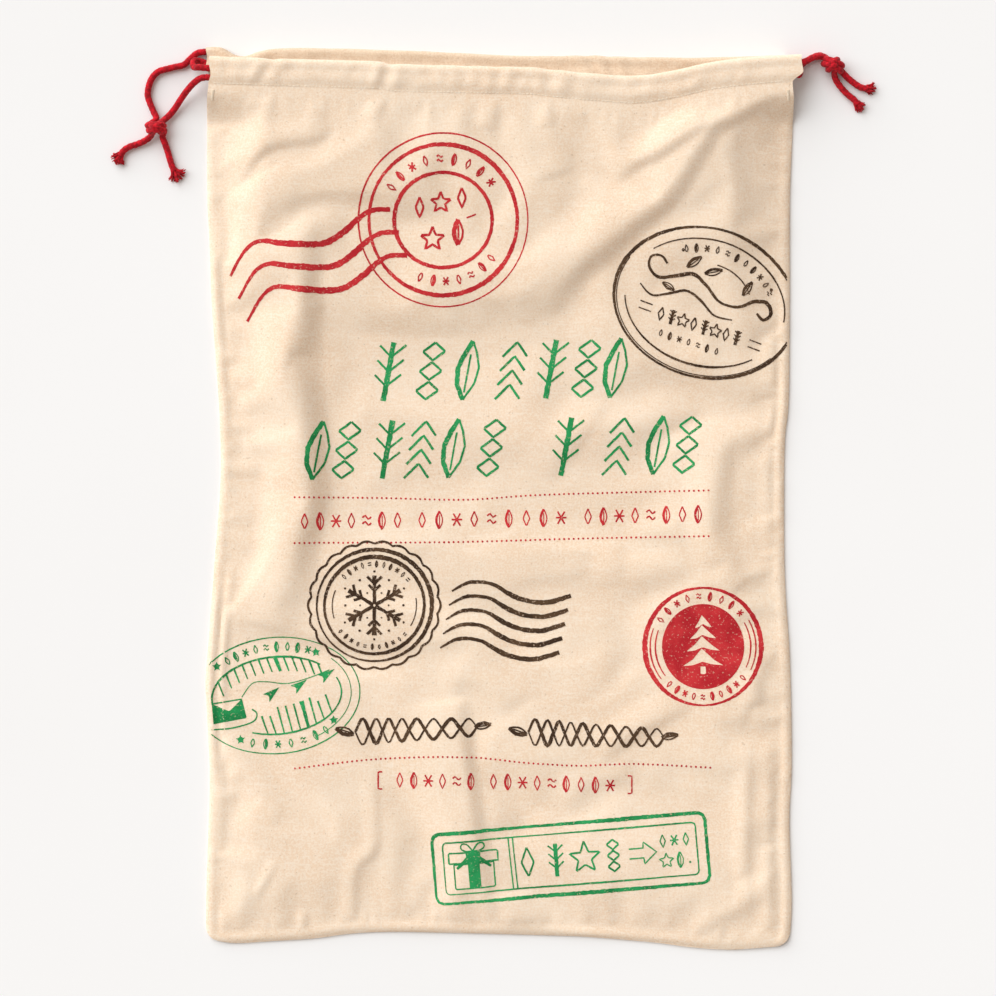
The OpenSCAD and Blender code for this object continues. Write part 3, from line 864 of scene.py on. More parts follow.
def add_held_cord(name, route, body, node):
    piece = add_cord(name, route, body)[0]
    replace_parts(piece, node)


add_held_cord(
    "left_cord_in_casings", held_route(1, LEFT_BACK_RUN, LEFT_FRONT_RUN, 0.2503, 0), "left_drawcord",
    "left_held_cord",
)
add_held_cord(
    "right_cord_in_casings", held_route(-1, RIGHT_BACK_RUN, RIGHT_FRONT_RUN, 0.2545, 0.1), "right_drawcord",
    "right_held_cord",
)


# ---- Seams inside the sack, and the sewing ----
SEAM_FROM, SEAM_TO = 0.002, 0.0112
SEAM_MID_Z = 0.0016
SEAM_T = 0.0010
SEAM_TOP = 0.93
OVERLOCK = (0.0088, 0.0118, 0.0030)
OVERLOCK_Z = 0.0023
THREAD_R = 0.00026
PANEL_W = panel_high[0] - panel_low[0]
PANEL_L = panel_high[1] - panel_low[1]


def add_strip(name, us, vs, node):
    """A turned-in seam allowance, between the two panels."""
    points = grid(us, vs, front_hem, lambda x, y: SEAM_MID_Z + 0.0002 * ripple(x, y, 51, 0.02))
    rows, columns = points.shape[:2]
    strip = add_mesh(name, points.reshape(-1, 3), grid_faces(rows, columns), CANVAS, "sack")
    thicken(strip, SEAM_T)
    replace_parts(strip, node)


def add_seams():
    across_side = np.linspace(SEAM_FROM, SEAM_TO, 4) / PANEL_W
    across_base = np.linspace(SEAM_FROM, SEAM_TO, 4) / PANEL_L
    up = np.linspace(SEAM_FROM / PANEL_L, SEAM_TOP, 180)
    along = np.linspace((SEAM_TO + 0.001) / PANEL_W, 1 - (SEAM_TO + 0.001) / PANEL_W, 130)
    add_strip("left_seam_allowance", across_side, up, "left_side_seam")
    add_strip("base_seam_allowance", along, across_base, "base_seam")
    add_strip("right_seam_allowance", 1 - across_side[::-1], up, "right_side_seam")


def overlock(length, turned):
    """The thread that binds a seam's cut edge: a zigzag along it, as places in the panel."""
    near, far, pitch = OVERLOCK
    count = 2 * round(length / pitch)
    places = []
    for k in range(count + 1):
        inset = near if k % 2 else far
        places.append(turned(inset, k * length / count))
    return np.array(places)


def add_overlock(name, length, turned, node):
    u, v = overlock(length, turned).T
    x, y = panel_place(u, v, front_hem)
    line = np.stack([x, y, np.full(len(x), OVERLOCK_Z)], axis=1)
    verts, faces = tube(line, np.full(len(line), THREAD_R), 6)
    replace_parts(add_mesh(name, verts, faces, THREAD, "sack"), node)


def surface_of(*pieces):
    """The finished surfaces of some pieces, to lay thread or ink on."""
    scene_now = bpy.context.evaluated_depsgraph_get()
    return [BVHTree.FromObject(piece, scene_now) for piece in pieces]


def laid_on(surfaces, x, y):
    """The highest point of the surfaces at a place, and the way it faces; None beyond their edge."""
    best = None
    for surface in surfaces:
        place, normal = surface.ray_cast(Vector((x, y, 0.1)), Vector((0, 0, -1)))[:2]
        if place is not None and (best is None or place.z > best[0].z):
            best = (place, normal)
    return best


STITCH_LENGTH = 0.0026
STITCH_GAP = 0.0006
STITCH_INSET = 0.0012


def add_hem_stitches(name, surfaces, hem, node):
    """Lockstitches one after another along a casing's hem, each pulled down into the cloth at its ends."""
    chance = random.Random(name)
    pitch = STITCH_LENGTH + STITCH_GAP
    reach = CASING_END - 0.003
    stitches = []
    for k in range(int(2 * reach / pitch)):
        middle = -reach + (k + 0.5) * pitch
        wander = chance.uniform(-0.0002, 0.0002)
        points = []
        for t in np.linspace(-1, 1, 5):
            x = middle + t * STITCH_LENGTH / 2
            y = float(hem(np.array(x))) + STITCH_INSET + wander
            hit = laid_on(surfaces, x, y)
            if hit is not None:
                sunk = 0.00045 * t ** 4
                points.append((x, y, hit[0].z + 0.00012 - sunk))
        if len(points) == 5:
            stitches.append(tube(np.array(points), np.full(5, THREAD_R), 6))
    verts, faces = join(stitches)
    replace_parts(add_mesh(name, verts, faces, THREAD, "sack"), node)


TACK_LENGTH = 0.0085
TACK_WIDTH = 0.0022
TACK_INSET = 0.0034
TACK_PITCH = 0.0006


def add_bar_tack(name, side, surfaces, node):
    """Close stitches side by side that lock the top of a side seam, at the sack's edge."""
    low, high = (np.array(c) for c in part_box(node))
    middle = (low[1] + high[1]) / 2
    stitches = []
    for y in np.arange(middle - TACK_LENGTH / 2, middle + TACK_LENGTH / 2, TACK_PITCH):
        edge = float(through(LEFT_EDGE if side < 0 else RIGHT_EDGE, y))
        points = []
        for t in np.linspace(0, 1, 4):
            x = edge - side * (TACK_INSET + TACK_WIDTH * t)
            points.append(laid_on(surfaces, x, y)[0] + Vector((0, 0, THREAD_R * 0.5)))
        stitches.append(tube(np.array(points), np.full(4, THREAD_R), 6))
    verts, faces = join(stitches)
    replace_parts(add_mesh(name, verts, faces, THREAD, "sack"), node)


add_seams()
side_run = SEAM_TOP * PANEL_L - SEAM_FROM
base_run = PANEL_W - 2 * SEAM_TO - 0.004
add_overlock(
    "left_overlock", side_run, lambda inset, at: (inset / PANEL_W, (SEAM_FROM + at) / PANEL_L),
    "left_side_thread",
)
add_overlock(
    "right_overlock", side_run, lambda inset, at: (1 - inset / PANEL_W, (SEAM_FROM + at) / PANEL_L),
    "right_side_thread",
)
add_overlock(
    "base_overlock", base_run, lambda inset, at: ((SEAM_TO + 0.002 + at) / PANEL_W, inset / PANEL_L),
    "base_thread",
)
front_surface = surface_of(front_sheet)
add_hem_stitches("front_hem_stitches", surface_of(front_hem_fold), front_hem, "front_hem_thread")
add_hem_stitches("back_hem_stitches", surface_of(back_hem_fold), back_hem, "back_hem_thread")
add_bar_tack("left_tack_stitches", -1, front_surface, "left_bar_tack")
add_bar_tack("right_tack_stitches", 1, front_surface, "right_bar_tack")


# ---- Prints: ink pressed into the front panel, with ornaments only ----
INK_CELL = 0.002
INK_LIFT = 0.00014
INK_STEP = 0.00003
INK_T = 0.0002
INK_EDGE = 0.0016


def ink(name, deep, bright, worn_off):
    """Ink in canvas: deeper where it lies thick, lighter in fine grain, worn off in specks, and bumped by the
    weave.
    """
    nodes = Nodes(name, roughness=0.86)
    threads = weave(nodes)
    thick = nodes.noise(60.0, 3.0)
    grain = nodes.noise(800.0, 2.0)
    worn = nodes.between(nodes.noise(560.0, 2.0), 0.60, 0.70)
    color = nodes.mix(nodes.between(thick, 0.35, 0.65), deep, bright)
    color = nodes.mix(nodes.math("MULTIPLY", nodes.between(grain, 0.5, 0.7), 0.4), color, bright)
    color = nodes.mix(nodes.math("MULTIPLY", worn, 0.45), color, worn_off)
    nodes.bump(threads, 0.00012, 0.6)
    return nodes.color(color)


WORN = (0.74, 0.55, 0.40, 1)
RED_INK = ink("red_ink", (0.44, 0.014, 0.022, 1), (0.60, 0.035, 0.04, 1), WORN)
GREEN_INK = ink("green_ink", (0.010, 0.20, 0.055, 1), (0.025, 0.33, 0.10, 1), WORN)
BROWN_INK = ink("brown_ink", (0.040, 0.020, 0.010, 1), (0.095, 0.052, 0.026, 1), WORN)


def crosses(loop, x, y):
    """How often a level line from a point to the right crosses a closed loop."""
    count = 0
    for (ax, ay), (bx, by) in zip(loop, loop[1:] + loop[:1]):
        if (ay > y) != (by > y) and x < ax + (y - ay) * (bx - ax) / (by - ay):
            count += 1
    return count


def turning(degrees):
    """What flat points are multiplied by to turn them."""
    angle = math.radians(degrees)
    return np.array([(math.cos(angle), math.sin(angle)), (-math.sin(angle), math.cos(angle))])


class Ink:
    """One print: strokes drawn flat about a centre, then pressed onto the cloth."""

    def __init__(self, name, material, slot, centre=(0, 0), tilt=0.0, layer=0):
        self.name, self.material, self.slot = name, material, slot
        self.centre = np.array(centre)
        self.turn = turning(tilt)
        self.lift = INK_LIFT + layer * 4 * INK_STEP
        self.parts = []
        self.chance = random.Random(name)

    def keep(self, points, faces):
        """Adds a stroke, a hair above or below its neighbours so that none share a plane."""
        lift = self.lift + len(self.parts) % 4 * INK_STEP
        points = np.asarray(points) @ self.turn + self.centre
        self.parts.append((np.column_stack([points, np.full(len(points), lift)]), faces))

    def line(self, route, width, taper=(1, 1), soft=True):
        """A pen stroke, as wide as the taper says from its start to its end."""
        line = smooth(route, INK_CELL) if soft else resample(np.array(route, dtype=float), INK_CELL)
        count = len(line)
        heading = np.gradient(line, axis=0)
        heading /= np.maximum(np.linalg.norm(heading, axis=1), 1e-9)[:, None]
        side = np.stack([heading[:, 1], -heading[:, 0]], axis=1)
        wide = np.interp(np.linspace(0, 1, count), np.linspace(0, 1, len(taper)), taper)
        rough = np.array([(self.chance.uniform(0.84, 1.16), self.chance.uniform(0.84, 1.16)) for _ in line])
        half = width / 2 * wide[:, None] * rough
        rows = np.stack([line - side * half[:, :1], line, line + side * half[:, 1:]], axis=1)
        self.keep(rows.reshape(-1, 2), grid_faces(count, 3))

    def ring(self, radii, width, span=(0, 360), taper=(1, 1)):
        angles = np.radians(np.linspace(*span, 90))
        oval = np.stack([radii[0] * np.cos(angles), radii[1] * np.sin(angles)], axis=1)
        self.line(oval, width, taper, soft=False)

    def dot(self, place, radius):
        angles = np.arange(8) * math.pi / 4
        reach = np.array([radius * self.chance.uniform(0.85, 1.15) for _ in angles])
        points = np.stack([place[0] + reach * np.cos(angles), place[1] + reach * np.sin(angles)], axis=1)
        self.keep(points, [tuple(range(8))])

    def dots(self, route, spacing, radius):
        for place in smooth(route, spacing):
            self.dot(place, radius)

    def fill(self, *loops):
        """The area inside the first loop and outside the others."""
        outlines = []
        points, edges = [], []
        for loop in loops:
            closed = resample(np.array(list(loop) + [loop[0]], dtype=float), INK_CELL)[:-1].tolist()
            first = len(points)
            edges += [(first + k, first + (k + 1) % len(closed)) for k in range(len(closed))]
            points += closed
            outlines.append(closed)
        low, high = np.min(outlines[0], axis=0), np.max(outlines[0], axis=0)
        for row, y in enumerate(np.arange(low[1], high[1], INK_CELL)):
            for x in np.arange(low[0] + row % 2 * INK_CELL / 2, high[0], INK_CELL):
                if sum(crosses(o, x, y) for o in outlines) % 2:
                    points.append((x, y))
        done = delaunay_2d_cdt([Vector(p) for p in points], edges, [], 0, 1e-5)
        flat = np.array([tuple(v) for v in done[0]])
        faces = []
        for a, b, c in done[2]:
            middle = (flat[a] + flat[b] + flat[c]) / 3
            area = np.linalg.det(np.stack([flat[b] - flat[a], flat[c] - flat[a]]))
            if abs(area) > 1e-9 and sum(crosses(o, *middle) for o in outlines) % 2:
                faces.append((a, b, c) if area > 0 else (a, c, b))
        self.keep(flat, faces)

    def mark(self, shape, place, height, width, turn=0.0, slant=0.0):
        """An ornament: its strokes are given on a square from -1 to 1."""
        spin = turning(turn)
        for route, weight in shape:
            points = np.array(route) * height / 2
            points[:, 0] += points[:, 1] * slant
            self.line(points @ spin + place, width * weight, soft=False)

    def around(self, radii, span, count, height, width, shapes):
        """Ornaments side by side along an arc, their tops outwards."""
        for k, angle in enumerate(np.linspace(*span, count)):
            a = math.radians(angle)
            place = np.array((radii[0] * math.cos(a), radii[1] * math.sin(a)))
            lean = math.degrees(math.atan2(place[1] / radii[1] ** 2, place[0] / radii[0] ** 2)) - 90
            self.mark(shapes[k % len(shapes)], place, height, width, lean)

    def row(self, start, end, count, height, width, shapes):
        """Ornaments side by side from one place to another."""
        for k, t in enumerate(np.linspace(0, 1, count)):
            place = np.array(start) * (1 - t) + np.array(end) * t
            self.mark(shapes[k % len(shapes)], place, height, width)

    def press(self):
        """Lays the drawing on the front panel, and leaves out what falls past its edge."""
        points, faces = join(self.parts)
        on_cloth = edge_distance(points[:, 0], points[:, 1]) > INK_EDGE
        placed = {}
        verts = []
        kept = []
        for face in faces:
            if not all(on_cloth[i] for i in face):
                continue
            for i in face:
                if i not in placed:
                    x, y, lift = points[i]
                    place, normal = laid_on(front_surface, x, y)
                    placed[i] = len(verts)
                    verts.append(place + normal * lift)
            kept.append([placed[i] for i in face])
        thicken(add_mesh(self.name, verts, kept, self.material, "sack"), INK_T, -1)


def star(radius, inner=0.42, points=5, turn=90):
    """The outline of a star."""
    outline = []
    for k in range(2 * points):
        angle = math.radians(turn + 180 * k / points)
        reach = radius * (1 if k % 2 == 0 else inner)
        outline.append((reach * math.cos(angle), reach * math.sin(angle)))
    return outline


def chevrons(count):
    heights = np.linspace(-1, 0.45, count)
    return [([(-0.42, h), (0, h + 0.5), (0.42, h)], 0.8) for h in heights]


def lozenges(count):
    half = 1 / count
    shape = []
    for k in range(count):
        h = -1 + half * (2 * k + 1)
        corners = [(0, h + half * 0.9), (0.38, h), (0, h - half * 0.9), (-0.38, h), (0, h + half * 0.9)]
        shape.append((corners, 0.8))
    return shape


SPRIG = [([(0, -1), (0, 1)], 1.7)]
SPRIG += [([(-0.45, h + 0.4), (0, h), (0.45, h + 0.4)], 0.7) for h in (-0.5, 0, 0.5)]
LEAF = [
    ([(0, -1), (-0.30, -0.45), (-0.36, 0.1), (-0.2, 0.6), (0, 1)], 1.5),
    ([(0, -1), (0.30, -0.45), (0.36, 0.1), (0.2, 0.6), (0, 1)], 0.7),
    ([(0, -0.75), (0, 0.55)], 0.6),
]
STAR = [(star(1.0) + [star(1.0)[0]], 0.8)]
SPARK = [([(-0.4, -0.7), (0.4, 0.7)], 1), ([(-0.4, 0.7), (0.4, -0.7)], 1), ([(-0.6, 0), (0.6, 0)], 1)]
DIAMOND = lozenges(1)
STACK = lozenges(3)
RANKS = chevrons(4)
RIPPLE = [([(-0.5, h), (-0.2, h + 0.3), (0.2, h - 0.2), (0.5, h + 0.1)], 1) for h in (-0.35, 0.35)]
SMALL_MARKS = [DIAMOND, LEAF, SPARK, DIAMOND, RIPPLE, LEAF]
TITLE_SLANT = 0.2


def print_postmark():
    mark = Ink("postmark_print", RED_INK, "print_red", (-0.0478, 0.2367))
    mark.ring((0.0722, 0.0736), 0.0011, taper=(1, 1.3, 1.4, 1.1, 1))
    mark.ring((0.0632, 0.0640), 0.0036, taper=(0.8, 1.2, 0.9, 0.7, 0.7, 1, 1.15, 0.8))
    mark.ring((0.0418, 0.0404), 0.0031, taper=(1, 0.9, 1.15, 1, 0.9))
    mark.around((0.0518, 0.0520), (148, 38), 9, 0.0100, 0.0015, SMALL_MARKS)
    mark.around((0.0518, 0.0520), (-112, -38), 7, 0.0095, 0.0014, SMALL_MARKS)
    mark.row((-0.020, 0.011), (0.016, 0.019), 3, 0.0185, 0.0023, [DIAMOND, STAR])
    mark.row((-0.009, -0.016), (0.013, -0.010), 2, 0.0215, 0.0026, [STAR, LEAF])
    mark.line([(0.020, 0.002), (0.028, 0.005)], 0.0014)
    wave = np.array([
        (-0.182, -0.047), (-0.169, -0.026), (-0.156, -0.018), (-0.136, -0.020), (-0.114, -0.021),
        (-0.099, -0.019), (-0.085, -0.010), (-0.069, 0.004), (-0.058, 0.009), (-0.045, 0.009),
    ])
    for k in range(3):
        mark.line(wave + np.array((0.0072, -0.0194)) * k, 0.0046, (0.5, 0.6, 0.9, 1.2, 1.1, 1.2, 0.9, 0.9))
    mark.press()


def print_oval():
    oval = Ink("oval_print", BROWN_INK, "print_brown", (0.1758, 0.1664), -15, layer=1)
    oval.ring((0.0790, 0.0631), 0.0022, taper=(1, 1.2, 1.3, 0.8, 1.2, 1.5, 1, 0.8, 0.8, 1.1, 1.4, 1))
    oval.ring((0.0768, 0.0612), 0.0009, span=(160, 330), taper=(0.8, 1, 0.7))
    oval.ring((0.0695, 0.0535), 0.0012, span=(142, 2), taper=(0.8, 1, 1.3, 0.8))
    oval.ring((0.0695, 0.0535), 0.0014, span=(192, 318), taper=(0.7, 1.1, 1.5, 0.7))
    oval.ring((0.0400, 0.0335), 0.0011, span=(88, 30), taper=(1, 1.2, 0.7))
    oval.dot((-0.030, 0.0385), 0.0014)
    oval.dot((0.0520, 0.0260), 0.0014)
    oval.around((0.0590, 0.0455), (118, 30), 11, 0.0075, 0.0011, SMALL_MARKS)
    # A scroll across the middle, with leaves on it
    oval.line(
        [(-0.040, 0.024), (-0.047, 0.029), (-0.055, 0.026), (-0.054, 0.017), (-0.044, 0.011), (-0.030, 0.016),
         (-0.016, 0.021), (-0.002, 0.014), (0.012, 0.004), (0.028, 0.004), (0.040, 0.012), (0.051, 0.014),
         (0.057, 0.006), (0.052, -0.001), (0.045, 0.003)],
        0.0024, (0.8, 0.8, 1.1, 1.4, 1.0, 0.8, 1.2, 1.4, 0.8),
    )
    oval.line(
        [(-0.058, 0.002), (-0.046, -0.005), (-0.032, 0.000), (-0.018, 0.006), (-0.004, 0.001),
         (0.010, -0.008), (0.026, -0.008)],
        0.0018, (0.6, 1.2, 1.2, 0.6),
    )
    for place, size, pen, turn in (
        ((-0.018, 0.031), 0.015, 0.0016, -40), ((0.000, 0.027), 0.015, 0.0016, -65),
        ((0.032, 0.021), 0.014, 0.0016, -20), ((-0.034, 0.006), 0.012, 0.0014, 70),
    ):
        oval.mark(LEAF, place, size, pen, turn)
    oval.row((-0.034, -0.0185), (0.034, -0.0215), 8, 0.0125, 0.0015, [DIAMOND, SPRIG, STAR])
    oval.row((-0.030, -0.0345), (0.020, -0.0375), 7, 0.0070, 0.0010, SMALL_MARKS)
    for y in (-0.013, -0.019):
        oval.line([(-0.054, y + 0.001), (-0.043, y)], 0.0011)
        oval.line([(0.045, y - 0.007), (0.056, y - 0.008)], 0.0011)
    oval.press()


def print_title():
    title = Ink("title_print", GREEN_INK, "print_green", tilt=0.9)
    upper = [-0.093, -0.057, -0.025, 0.013, 0.046, 0.076, 0.1015]
    lower = [-0.154, -0.130, -0.095, -0.066, -0.038, -0.006, 0.058, 0.1035, 0.137, 0.1615]
    ornaments = [SPRIG, STACK, LEAF, RANKS]
    for k, x in enumerate(upper):
        title.mark(ornaments[k % 4], (x, 0.1095), 0.050, 0.0026, slant=TITLE_SLANT)
    for k, x in enumerate(lower):
        title.mark(ornaments[(k * 3 + 2) % 4], (x, 0.0430), 0.0495, 0.0026, slant=TITLE_SLANT)
    title.press()


def print_rows():
    rows = Ink("dotted_rows_print", RED_INK, "print_red")
    for line in (
        [(-0.1745, 0.0007), (-0.100, 0.0000), (-0.030, -0.0015), (0.030, 0.0024), (0.100, 0.0046),
         (0.1787, 0.0065)],
        [(-0.1745, -0.0384), (-0.040, -0.0377), (0.060, -0.0350), (0.1787, -0.0325)],
        [(-0.1745, -0.2312), (-0.120, -0.2246), (-0.057, -0.2211), (-0.015, -0.2223), (0.021, -0.2262),
         (0.068, -0.2289), (0.115, -0.2274), (0.1805, -0.2305)],
    ):
        rows.dots(line, 0.0041, 0.0009)
    for start, end, count, size, pen in (
        ((-0.166, -0.0200), (-0.087, -0.0192), 7, 0.0150, 0.0014),
        ((-0.066, -0.0190), (0.053, -0.0168), 9, 0.0150, 0.0014),
        ((0.076, -0.0160), (0.170, -0.0138), 8, 0.0150, 0.0014),
        ((-0.085, -0.2412), (-0.024, -0.2420), 6, 0.0140, 0.0013),
        ((-0.005, -0.2425), (0.095, -0.2460), 9, 0.0140, 0.0013),
    ):
        rows.row(start, end, count, size, pen, SMALL_MARKS)
    # A bracket at each end of the last row
    for tip, back, high, low in ((-0.100, -0.1035, -0.2342, -0.2487), (0.110, 0.1135, -0.2376, -0.2530)):
        rows.line([(tip, high), (back, high), (back, low), (tip, low)], 0.0013, soft=False)
    rows.press()


def print_seal():
    seal = Ink("seal_print", BROWN_INK, "print_brown", (-0.1068, -0.0918), 8, layer=1)
    rim = []
    for angle in np.radians(np.linspace(0, 360, 265)):
        reach = 0.0543 + 0.0024 * abs(math.sin(angle * 11))
        rim.append((reach * math.cos(angle), reach * math.sin(angle) * 0.97))
    seal.line(rim, 0.0019, soft=False)
    seal.ring((0.0492, 0.0478), 0.0027, taper=(1.4, 1.3, 1.1, 0.6, 0.5, 0.6, 1.1, 1.4))
    seal.ring((0.0427, 0.0415), 0.0030, taper=(0.8, 1.3, 1.1, 0.7, 0.8, 1.1, 0.8))
    seal.ring((0.0360, 0.0350), 0.0009, span=(150, 190))
    seal.ring((0.0360, 0.0350), 0.0009, span=(-38, 2))
    seal.around((0.0362, 0.0354), (128, 30), 11, 0.0058, 0.0009, SMALL_MARKS)
    seal.around((0.0362, 0.0354), (-150, -52), 11, 0.0052, 0.0009, SMALL_MARKS)
    for k in range(6):
        angle = math.radians(60 * k + 22)
        away = np.array((math.cos(angle), math.sin(angle)))
        aside = np.array((-away[1], away[0]))
        seal.line([away * 0.001, away * 0.0255], 0.0030, (1, 0.9, 1.3), soft=False)
        for reach, arm in ((0.0125, 0.0050), (0.0185, 0.0062)):
            joint = away * reach
            seal.line([joint + (away + aside) * arm, joint, joint + (away - aside) * arm], 0.0023, soft=False)
        seal.dot(away * 0.0290, 0.0010)
        seal.dot((away + aside * 0.58) * 0.0215, 0.0011)
        seal.dot((away + aside * 0.58) * 0.0105, 0.0008)
    seal.press()
    waves = Ink("wave_print", BROWN_INK, "print_brown", layer=1)
    wave = np.array([
        (-0.0405, -0.0797), (-0.0283, -0.0730), (-0.0175, -0.0717), (-0.0052, -0.0738), (0.0055, -0.0802),
        (0.0162, -0.0856), (0.0283, -0.0888), (0.0406, -0.0894), (0.0497, -0.0873), (0.0613, -0.0835),
    ])
    for k in range(5):
        waves.line(wave + np.array((-0.0025, -0.0121)) * k, 0.0035, (0.4, 0.9, 0.8, 1.2, 1.1, 1.2, 1))
    waves.press()


def print_tree_stamp():
    stamp = Ink("tree_stamp_print", RED_INK, "print_red", (0.1743, -0.1270))
    stamp.ring((0.0498, 0.0502), 0.0029, taper=(1.5, 1.2, 0.6, 1.2, 1.5, 1.3, 0.5, 1.0, 1.5))
    for reach in (0.0452, 0.0408):
        stamp.ring((reach, reach), 0.0011, span=(160, 218), taper=(0.8, 1.3, 0.7))
        stamp.ring((reach, reach), 0.0011, span=(30, -26), taper=(0.8, 1.3, 0.7))
    stamp.around((0.0428, 0.0430), (148, 42), 9, 0.0078, 0.0012, SMALL_MARKS)
    stamp.around((0.0428, 0.0430), (-132, -38), 10, 0.0074, 0.0012, SMALL_MARKS)
    disc = []
    for angle in np.radians(np.arange(0, 360, 6)):
        disc.append((0.0352 * math.cos(angle), 0.0364 * math.sin(angle)))
    tree = []
    top = 0.027
    for half, bottom in ((0.0075, 0.0165), (0.0115, 0.0070), (0.0145, -0.0035), (0.0175, -0.0160)):
        notch = bottom + 0.0030
        tree.append([
            (-0.0012, top), (half * 0.55, bottom + 0.0045), (half, bottom), (half * 0.45, bottom + 0.0008),
            (-0.0004, notch), (-half * 0.5, bottom), (-half, bottom - 0.0008), (-half * 0.5, bottom + 0.0050),
        ])
        top = notch - 0.0011
    tree.append([(-0.0022, -0.0170), (0.0022, -0.0170), (0.0026, -0.0235), (-0.0022, -0.0235)])
    stamp.fill(disc, *tree)
    stamp.press()


def print_hatched_oval():
    oval = Ink("hatched_oval_print", GREEN_INK, "print_green", (-0.1904, -0.1689), 5)
    oval.ring((0.0715, 0.0497), 0.0010, taper=(1, 0.8, 1.3, 1, 0.9, 1.2, 1))
    oval.ring((0.0640, 0.0430), 0.0007, span=(40, -60))
    oval.ring((0.0557, 0.0330), 0.0015, span=(195, 45), taper=(0.8, 1.3, 1, 1.3, 0.8))
    oval.ring((0.0557, 0.0330), 0.0014, span=(20, -115), taper=(0.9, 1, 1.2, 0.8))
    for k in range(13):
        x = -0.049 + 0.0072 * k
        edge = 0.0330 * math.sqrt(1 - (x / 0.0557) ** 2)
        thick = 0.0030 if k == 7 else 0.0014
        oval.line([(x, edge), (x + 0.0038, edge - 0.0125)], thick, (1.2, 0.8), soft=False)
    for k in range(9):
        x = -0.010 + 0.0070 * k
        edge = 0.0330 * math.sqrt(1 - (x / 0.0557) ** 2)
        tall = 0.023 if 1 < k < 7 else 0.016
        thick = 0.0030 if k == 5 else 0.0014
        oval.line([(x, -edge), (x - 0.0042, tall - edge)], thick, (0.8, 1.2), soft=False)
    for place in ((-0.049, 0.029), (0.0365, 0.034), (-0.034, -0.035), (0.047, -0.025)):
        oval.fill([np.array(p) + place for p in star(0.0042)])
    oval.around((0.0640, 0.0415), (128, 62), 9, 0.0088, 0.0012, SMALL_MARKS)
    oval.around((0.0640, 0.0415), (-112, -52), 7, 0.0088, 0.0012, SMALL_MARKS)
    # An envelope on its way behind three darts
    corners = np.array([(-0.056, -0.020), (-0.027, -0.017), (-0.030, 0.000), (-0.056, -0.002)])
    point = corners[:2].mean(axis=0) + (0.0, 0.0085)
    flap = [corners[3] + (0.0010, -0.0012), corners[2] + (-0.0010, -0.0012), point]
    oval.fill(corners, flap)
    trails = (
        ([(-0.060, -0.0245), (-0.040, -0.0245), (-0.022, -0.0205), (-0.018, -0.014), (-0.022, -0.010)],
         0.0012),
        ([(-0.030, 0.001), (-0.020, 0.012), (-0.008, 0.0125), (0.010, 0.0095), (0.030, 0.013),
          (0.047, 0.018)],
         0.0008),
    )
    for route, pen in trails:
        oval.line(route, pen)
    for place, turn in (((-0.004, 0.002), 35), ((0.020, 0.007), 32), ((0.044, 0.014), 30)):
        dart = np.array([(0.0085, 0.0), (-0.0065, 0.0045), (-0.0030, 0.0), (-0.0065, -0.0045)])
        oval.fill(dart @ turning(turn) + place)
    oval.press()


def print_pen_strokes():
    """Two twisted ribbons drawn with a pen, with a leaf at each end."""
    pen = Ink("pen_print", BROWN_INK, "print_brown", layer=1)
    for start, end, turns in (((-0.126, -0.200), (-0.022, -0.196), 4), ((0.022, -0.200), (0.138, -0.205), 5)):
        start, end = np.array(start), np.array(end)
        for flip, width in ((1, 0.0028), (-1, 0.0017)):
            route = []
            for t in np.linspace(0, 1, 4 * turns + 1):
                swing = flip * (0.0115 - 0.004 * t) * math.sin(2 * math.pi * turns * t)
                route.append(start * (1 - t) + end * t + (0.003 * math.cos(6 * t), swing))
            pen.line(route, width, (0.7, 1.2, 0.8, 1.1, 0.9, 1.2, 0.7))
        pen.mark(LEAF, start + (-0.006, 0.001), 0.016, 0.0022, 72)
        pen.mark(LEAF, end + (0.008, 0.001), 0.014, 0.0020, -80)
    pen.press()


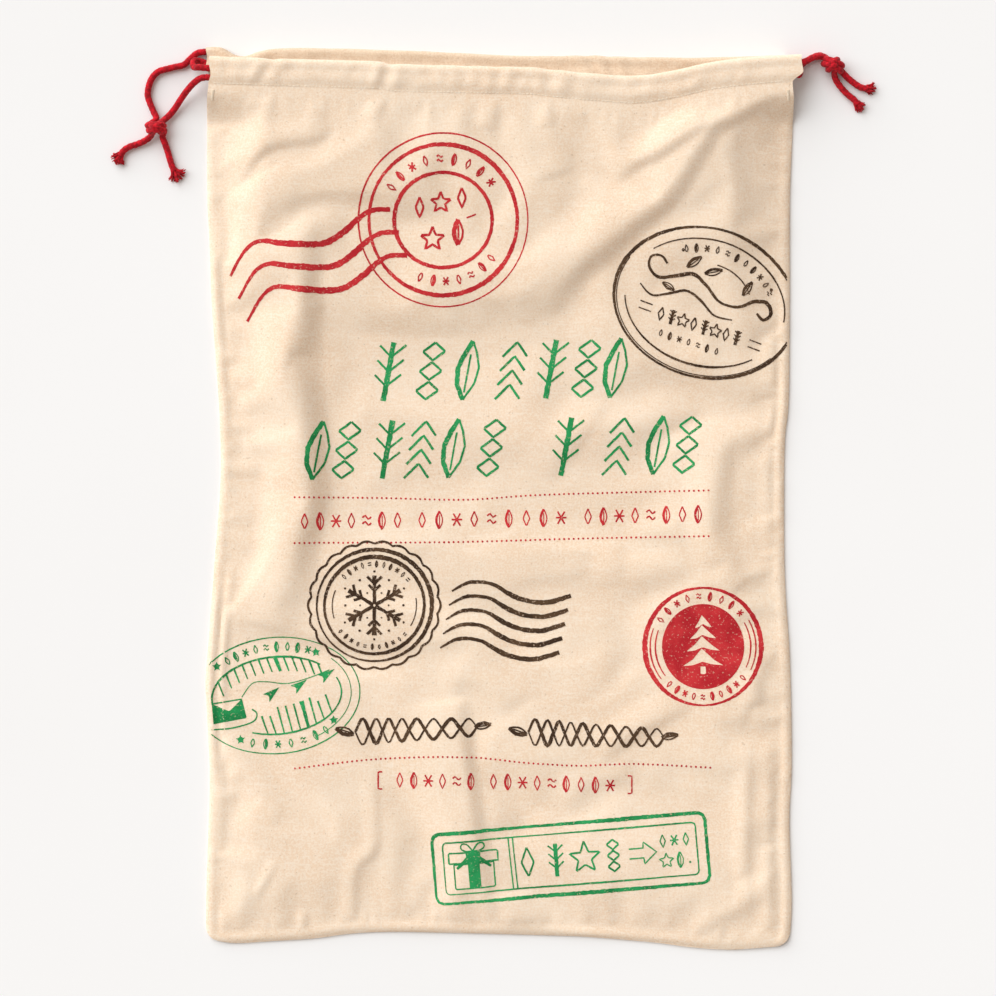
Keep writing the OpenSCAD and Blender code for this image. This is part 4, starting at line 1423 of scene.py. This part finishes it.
def print_gift_box():
    box = Ink("gift_box_print", GREEN_INK, "print_green", (0.0612, -0.3084), 4.7)
    for wide, high, stroke, corner in ((0.1172, 0.0300, 0.0028, 0.006), (0.1085, 0.0222, 0.0013, 0.003)):
        outline = []
        for x, y, start in ((wide, high, 0), (-wide, high, 90), (-wide, -high, 180), (wide, -high, 270)):
            for angle in np.radians((start, start + 45, start + 90)):
                outline.append((
                    x - math.copysign(corner, x) + corner * math.cos(angle),
                    y - math.copysign(corner, y) + corner * math.sin(angle),
                ))
        box.line(outline + outline[:1], stroke, (1, 1.3, 0.8, 1.2, 0.7, 1.1, 1.3, 0.9, 1), soft=False)
    for x in (-0.0515, -0.0478):
        box.line([(x - 0.0006, 0.0215), (x + 0.0006, -0.0215)], 0.0011, soft=False)
    # A wrapped box with its bow
    for left, right, near, far, pen in (
        (-0.100, -0.066, 0.003, -0.0180, 0.0012), (-0.104, -0.062, 0.004, 0.0130, 0.0014),
    ):
        box.line([(left, near), (right, near), (right, far), (left, far), (left, near)], pen, soft=False)
    box.fill([(-0.0880, -0.0180), (-0.0780, -0.0180), (-0.0780, 0.0035), (-0.0880, 0.0035)])
    box.fill([(-0.0885, 0.0035), (-0.0775, 0.0035), (-0.0765, 0.0145), (-0.0895, 0.0145)])
    for side in (-1, 1):
        middle = np.array((-0.083, 0.014))
        loop = [(0, 0), (0.0045, 0.0058), (0.0090, 0.0062), (0.0098, 0.0022), (0.0040, -0.0006), (0, 0)]
        box.line([middle + (side * x, y) for x, y in loop], 0.0013)
        tail = [(0.002, -0.003), (0.008, -0.009), (0.0145, -0.0145)]
        box.line([middle + (side * x, y) for x, y in tail], 0.0026, (1, 1.3, 0.8))
    for k, shape in enumerate((DIAMOND, SPRIG, STAR, STACK)):
        box.mark(shape, (-0.0370 + 0.0245 * k, 0.0), 0.028, 0.0020)
    box.line(
        [(0.050, 0.0042), (0.0625, 0.0042), (0.0625, 0.0095), (0.0735, 0.0), (0.0625, -0.0095),
         (0.0625, -0.0042), (0.050, -0.0042)],
        0.0012, soft=False,
    )
    box.row((0.0795, 0.0085), (0.0995, 0.0085), 3, 0.0120, 0.0013, [DIAMOND, SPARK])
    box.row((0.0815, -0.0085), (0.0935, -0.0085), 2, 0.0135, 0.0013, [STAR, LEAF])
    box.dot((0.1015, -0.0110), 0.0010)
    box.press()


for print_one in (
    print_postmark, print_oval, print_title, print_rows, print_seal, print_tree_stamp, print_hatched_oval,
    print_pen_strokes, print_gift_box,
):
    print_one()


# ---- Floor and light ----
FLOOR_REACH = 4.0
FLOOR_Z = -0.0002


def add_floor():
    corners = [(x * FLOOR_REACH, y * FLOOR_REACH, FLOOR_Z) for x, y in ((-1, -1), (1, -1), (1, 1), (-1, 1))]
    mesh = bpy.data.meshes.new("floor")
    mesh.from_pydata(corners, [], [(0, 1, 2, 3)])
    nodes = Nodes("floor_paper", roughness=0.8)
    tone = nodes.noise(3.0, 2.0)
    mesh.materials.append(nodes.color(nodes.mix(tone, (0.865, 0.86, 0.855, 1), (0.89, 0.89, 0.89, 1))))
    floor = bpy.data.objects.new("floor", mesh)
    bpy.context.scene.collection.objects.link(floor)


def add_soft_light(name, place, strength, color, spread):
    """A wide soft light from one side, as even over the floor as a big window's."""
    data = bpy.data.lights.new(name, "SUN")
    data.energy = strength
    data.color = color
    data.angle = math.radians(spread)
    light = bpy.data.objects.new(name, data)
    light.location = place
    light.rotation_euler = (-Vector(place)).to_track_quat("-Z", "Y").to_euler()
    bpy.context.scene.collection.objects.link(light)


def add_world(color, strength):
    """Soft light from all round, warm in the shadows."""
    world = bpy.data.worlds.new("soft_room")
    world.use_nodes = True
    background = world.node_tree.nodes["Background"]
    background.inputs["Color"].default_value = color
    background.inputs["Strength"].default_value = strength
    bpy.context.scene.world = world


add_floor()
add_soft_light("key_light", place=(-1.9, 1.7, 1.7), strength=3.95, color=(0.94, 0.975, 1.0), spread=75)
add_world(color=(1.0, 0.90, 0.82, 1), strength=0.415)
bpy.context.scene.view_settings.view_transform = "Standard"
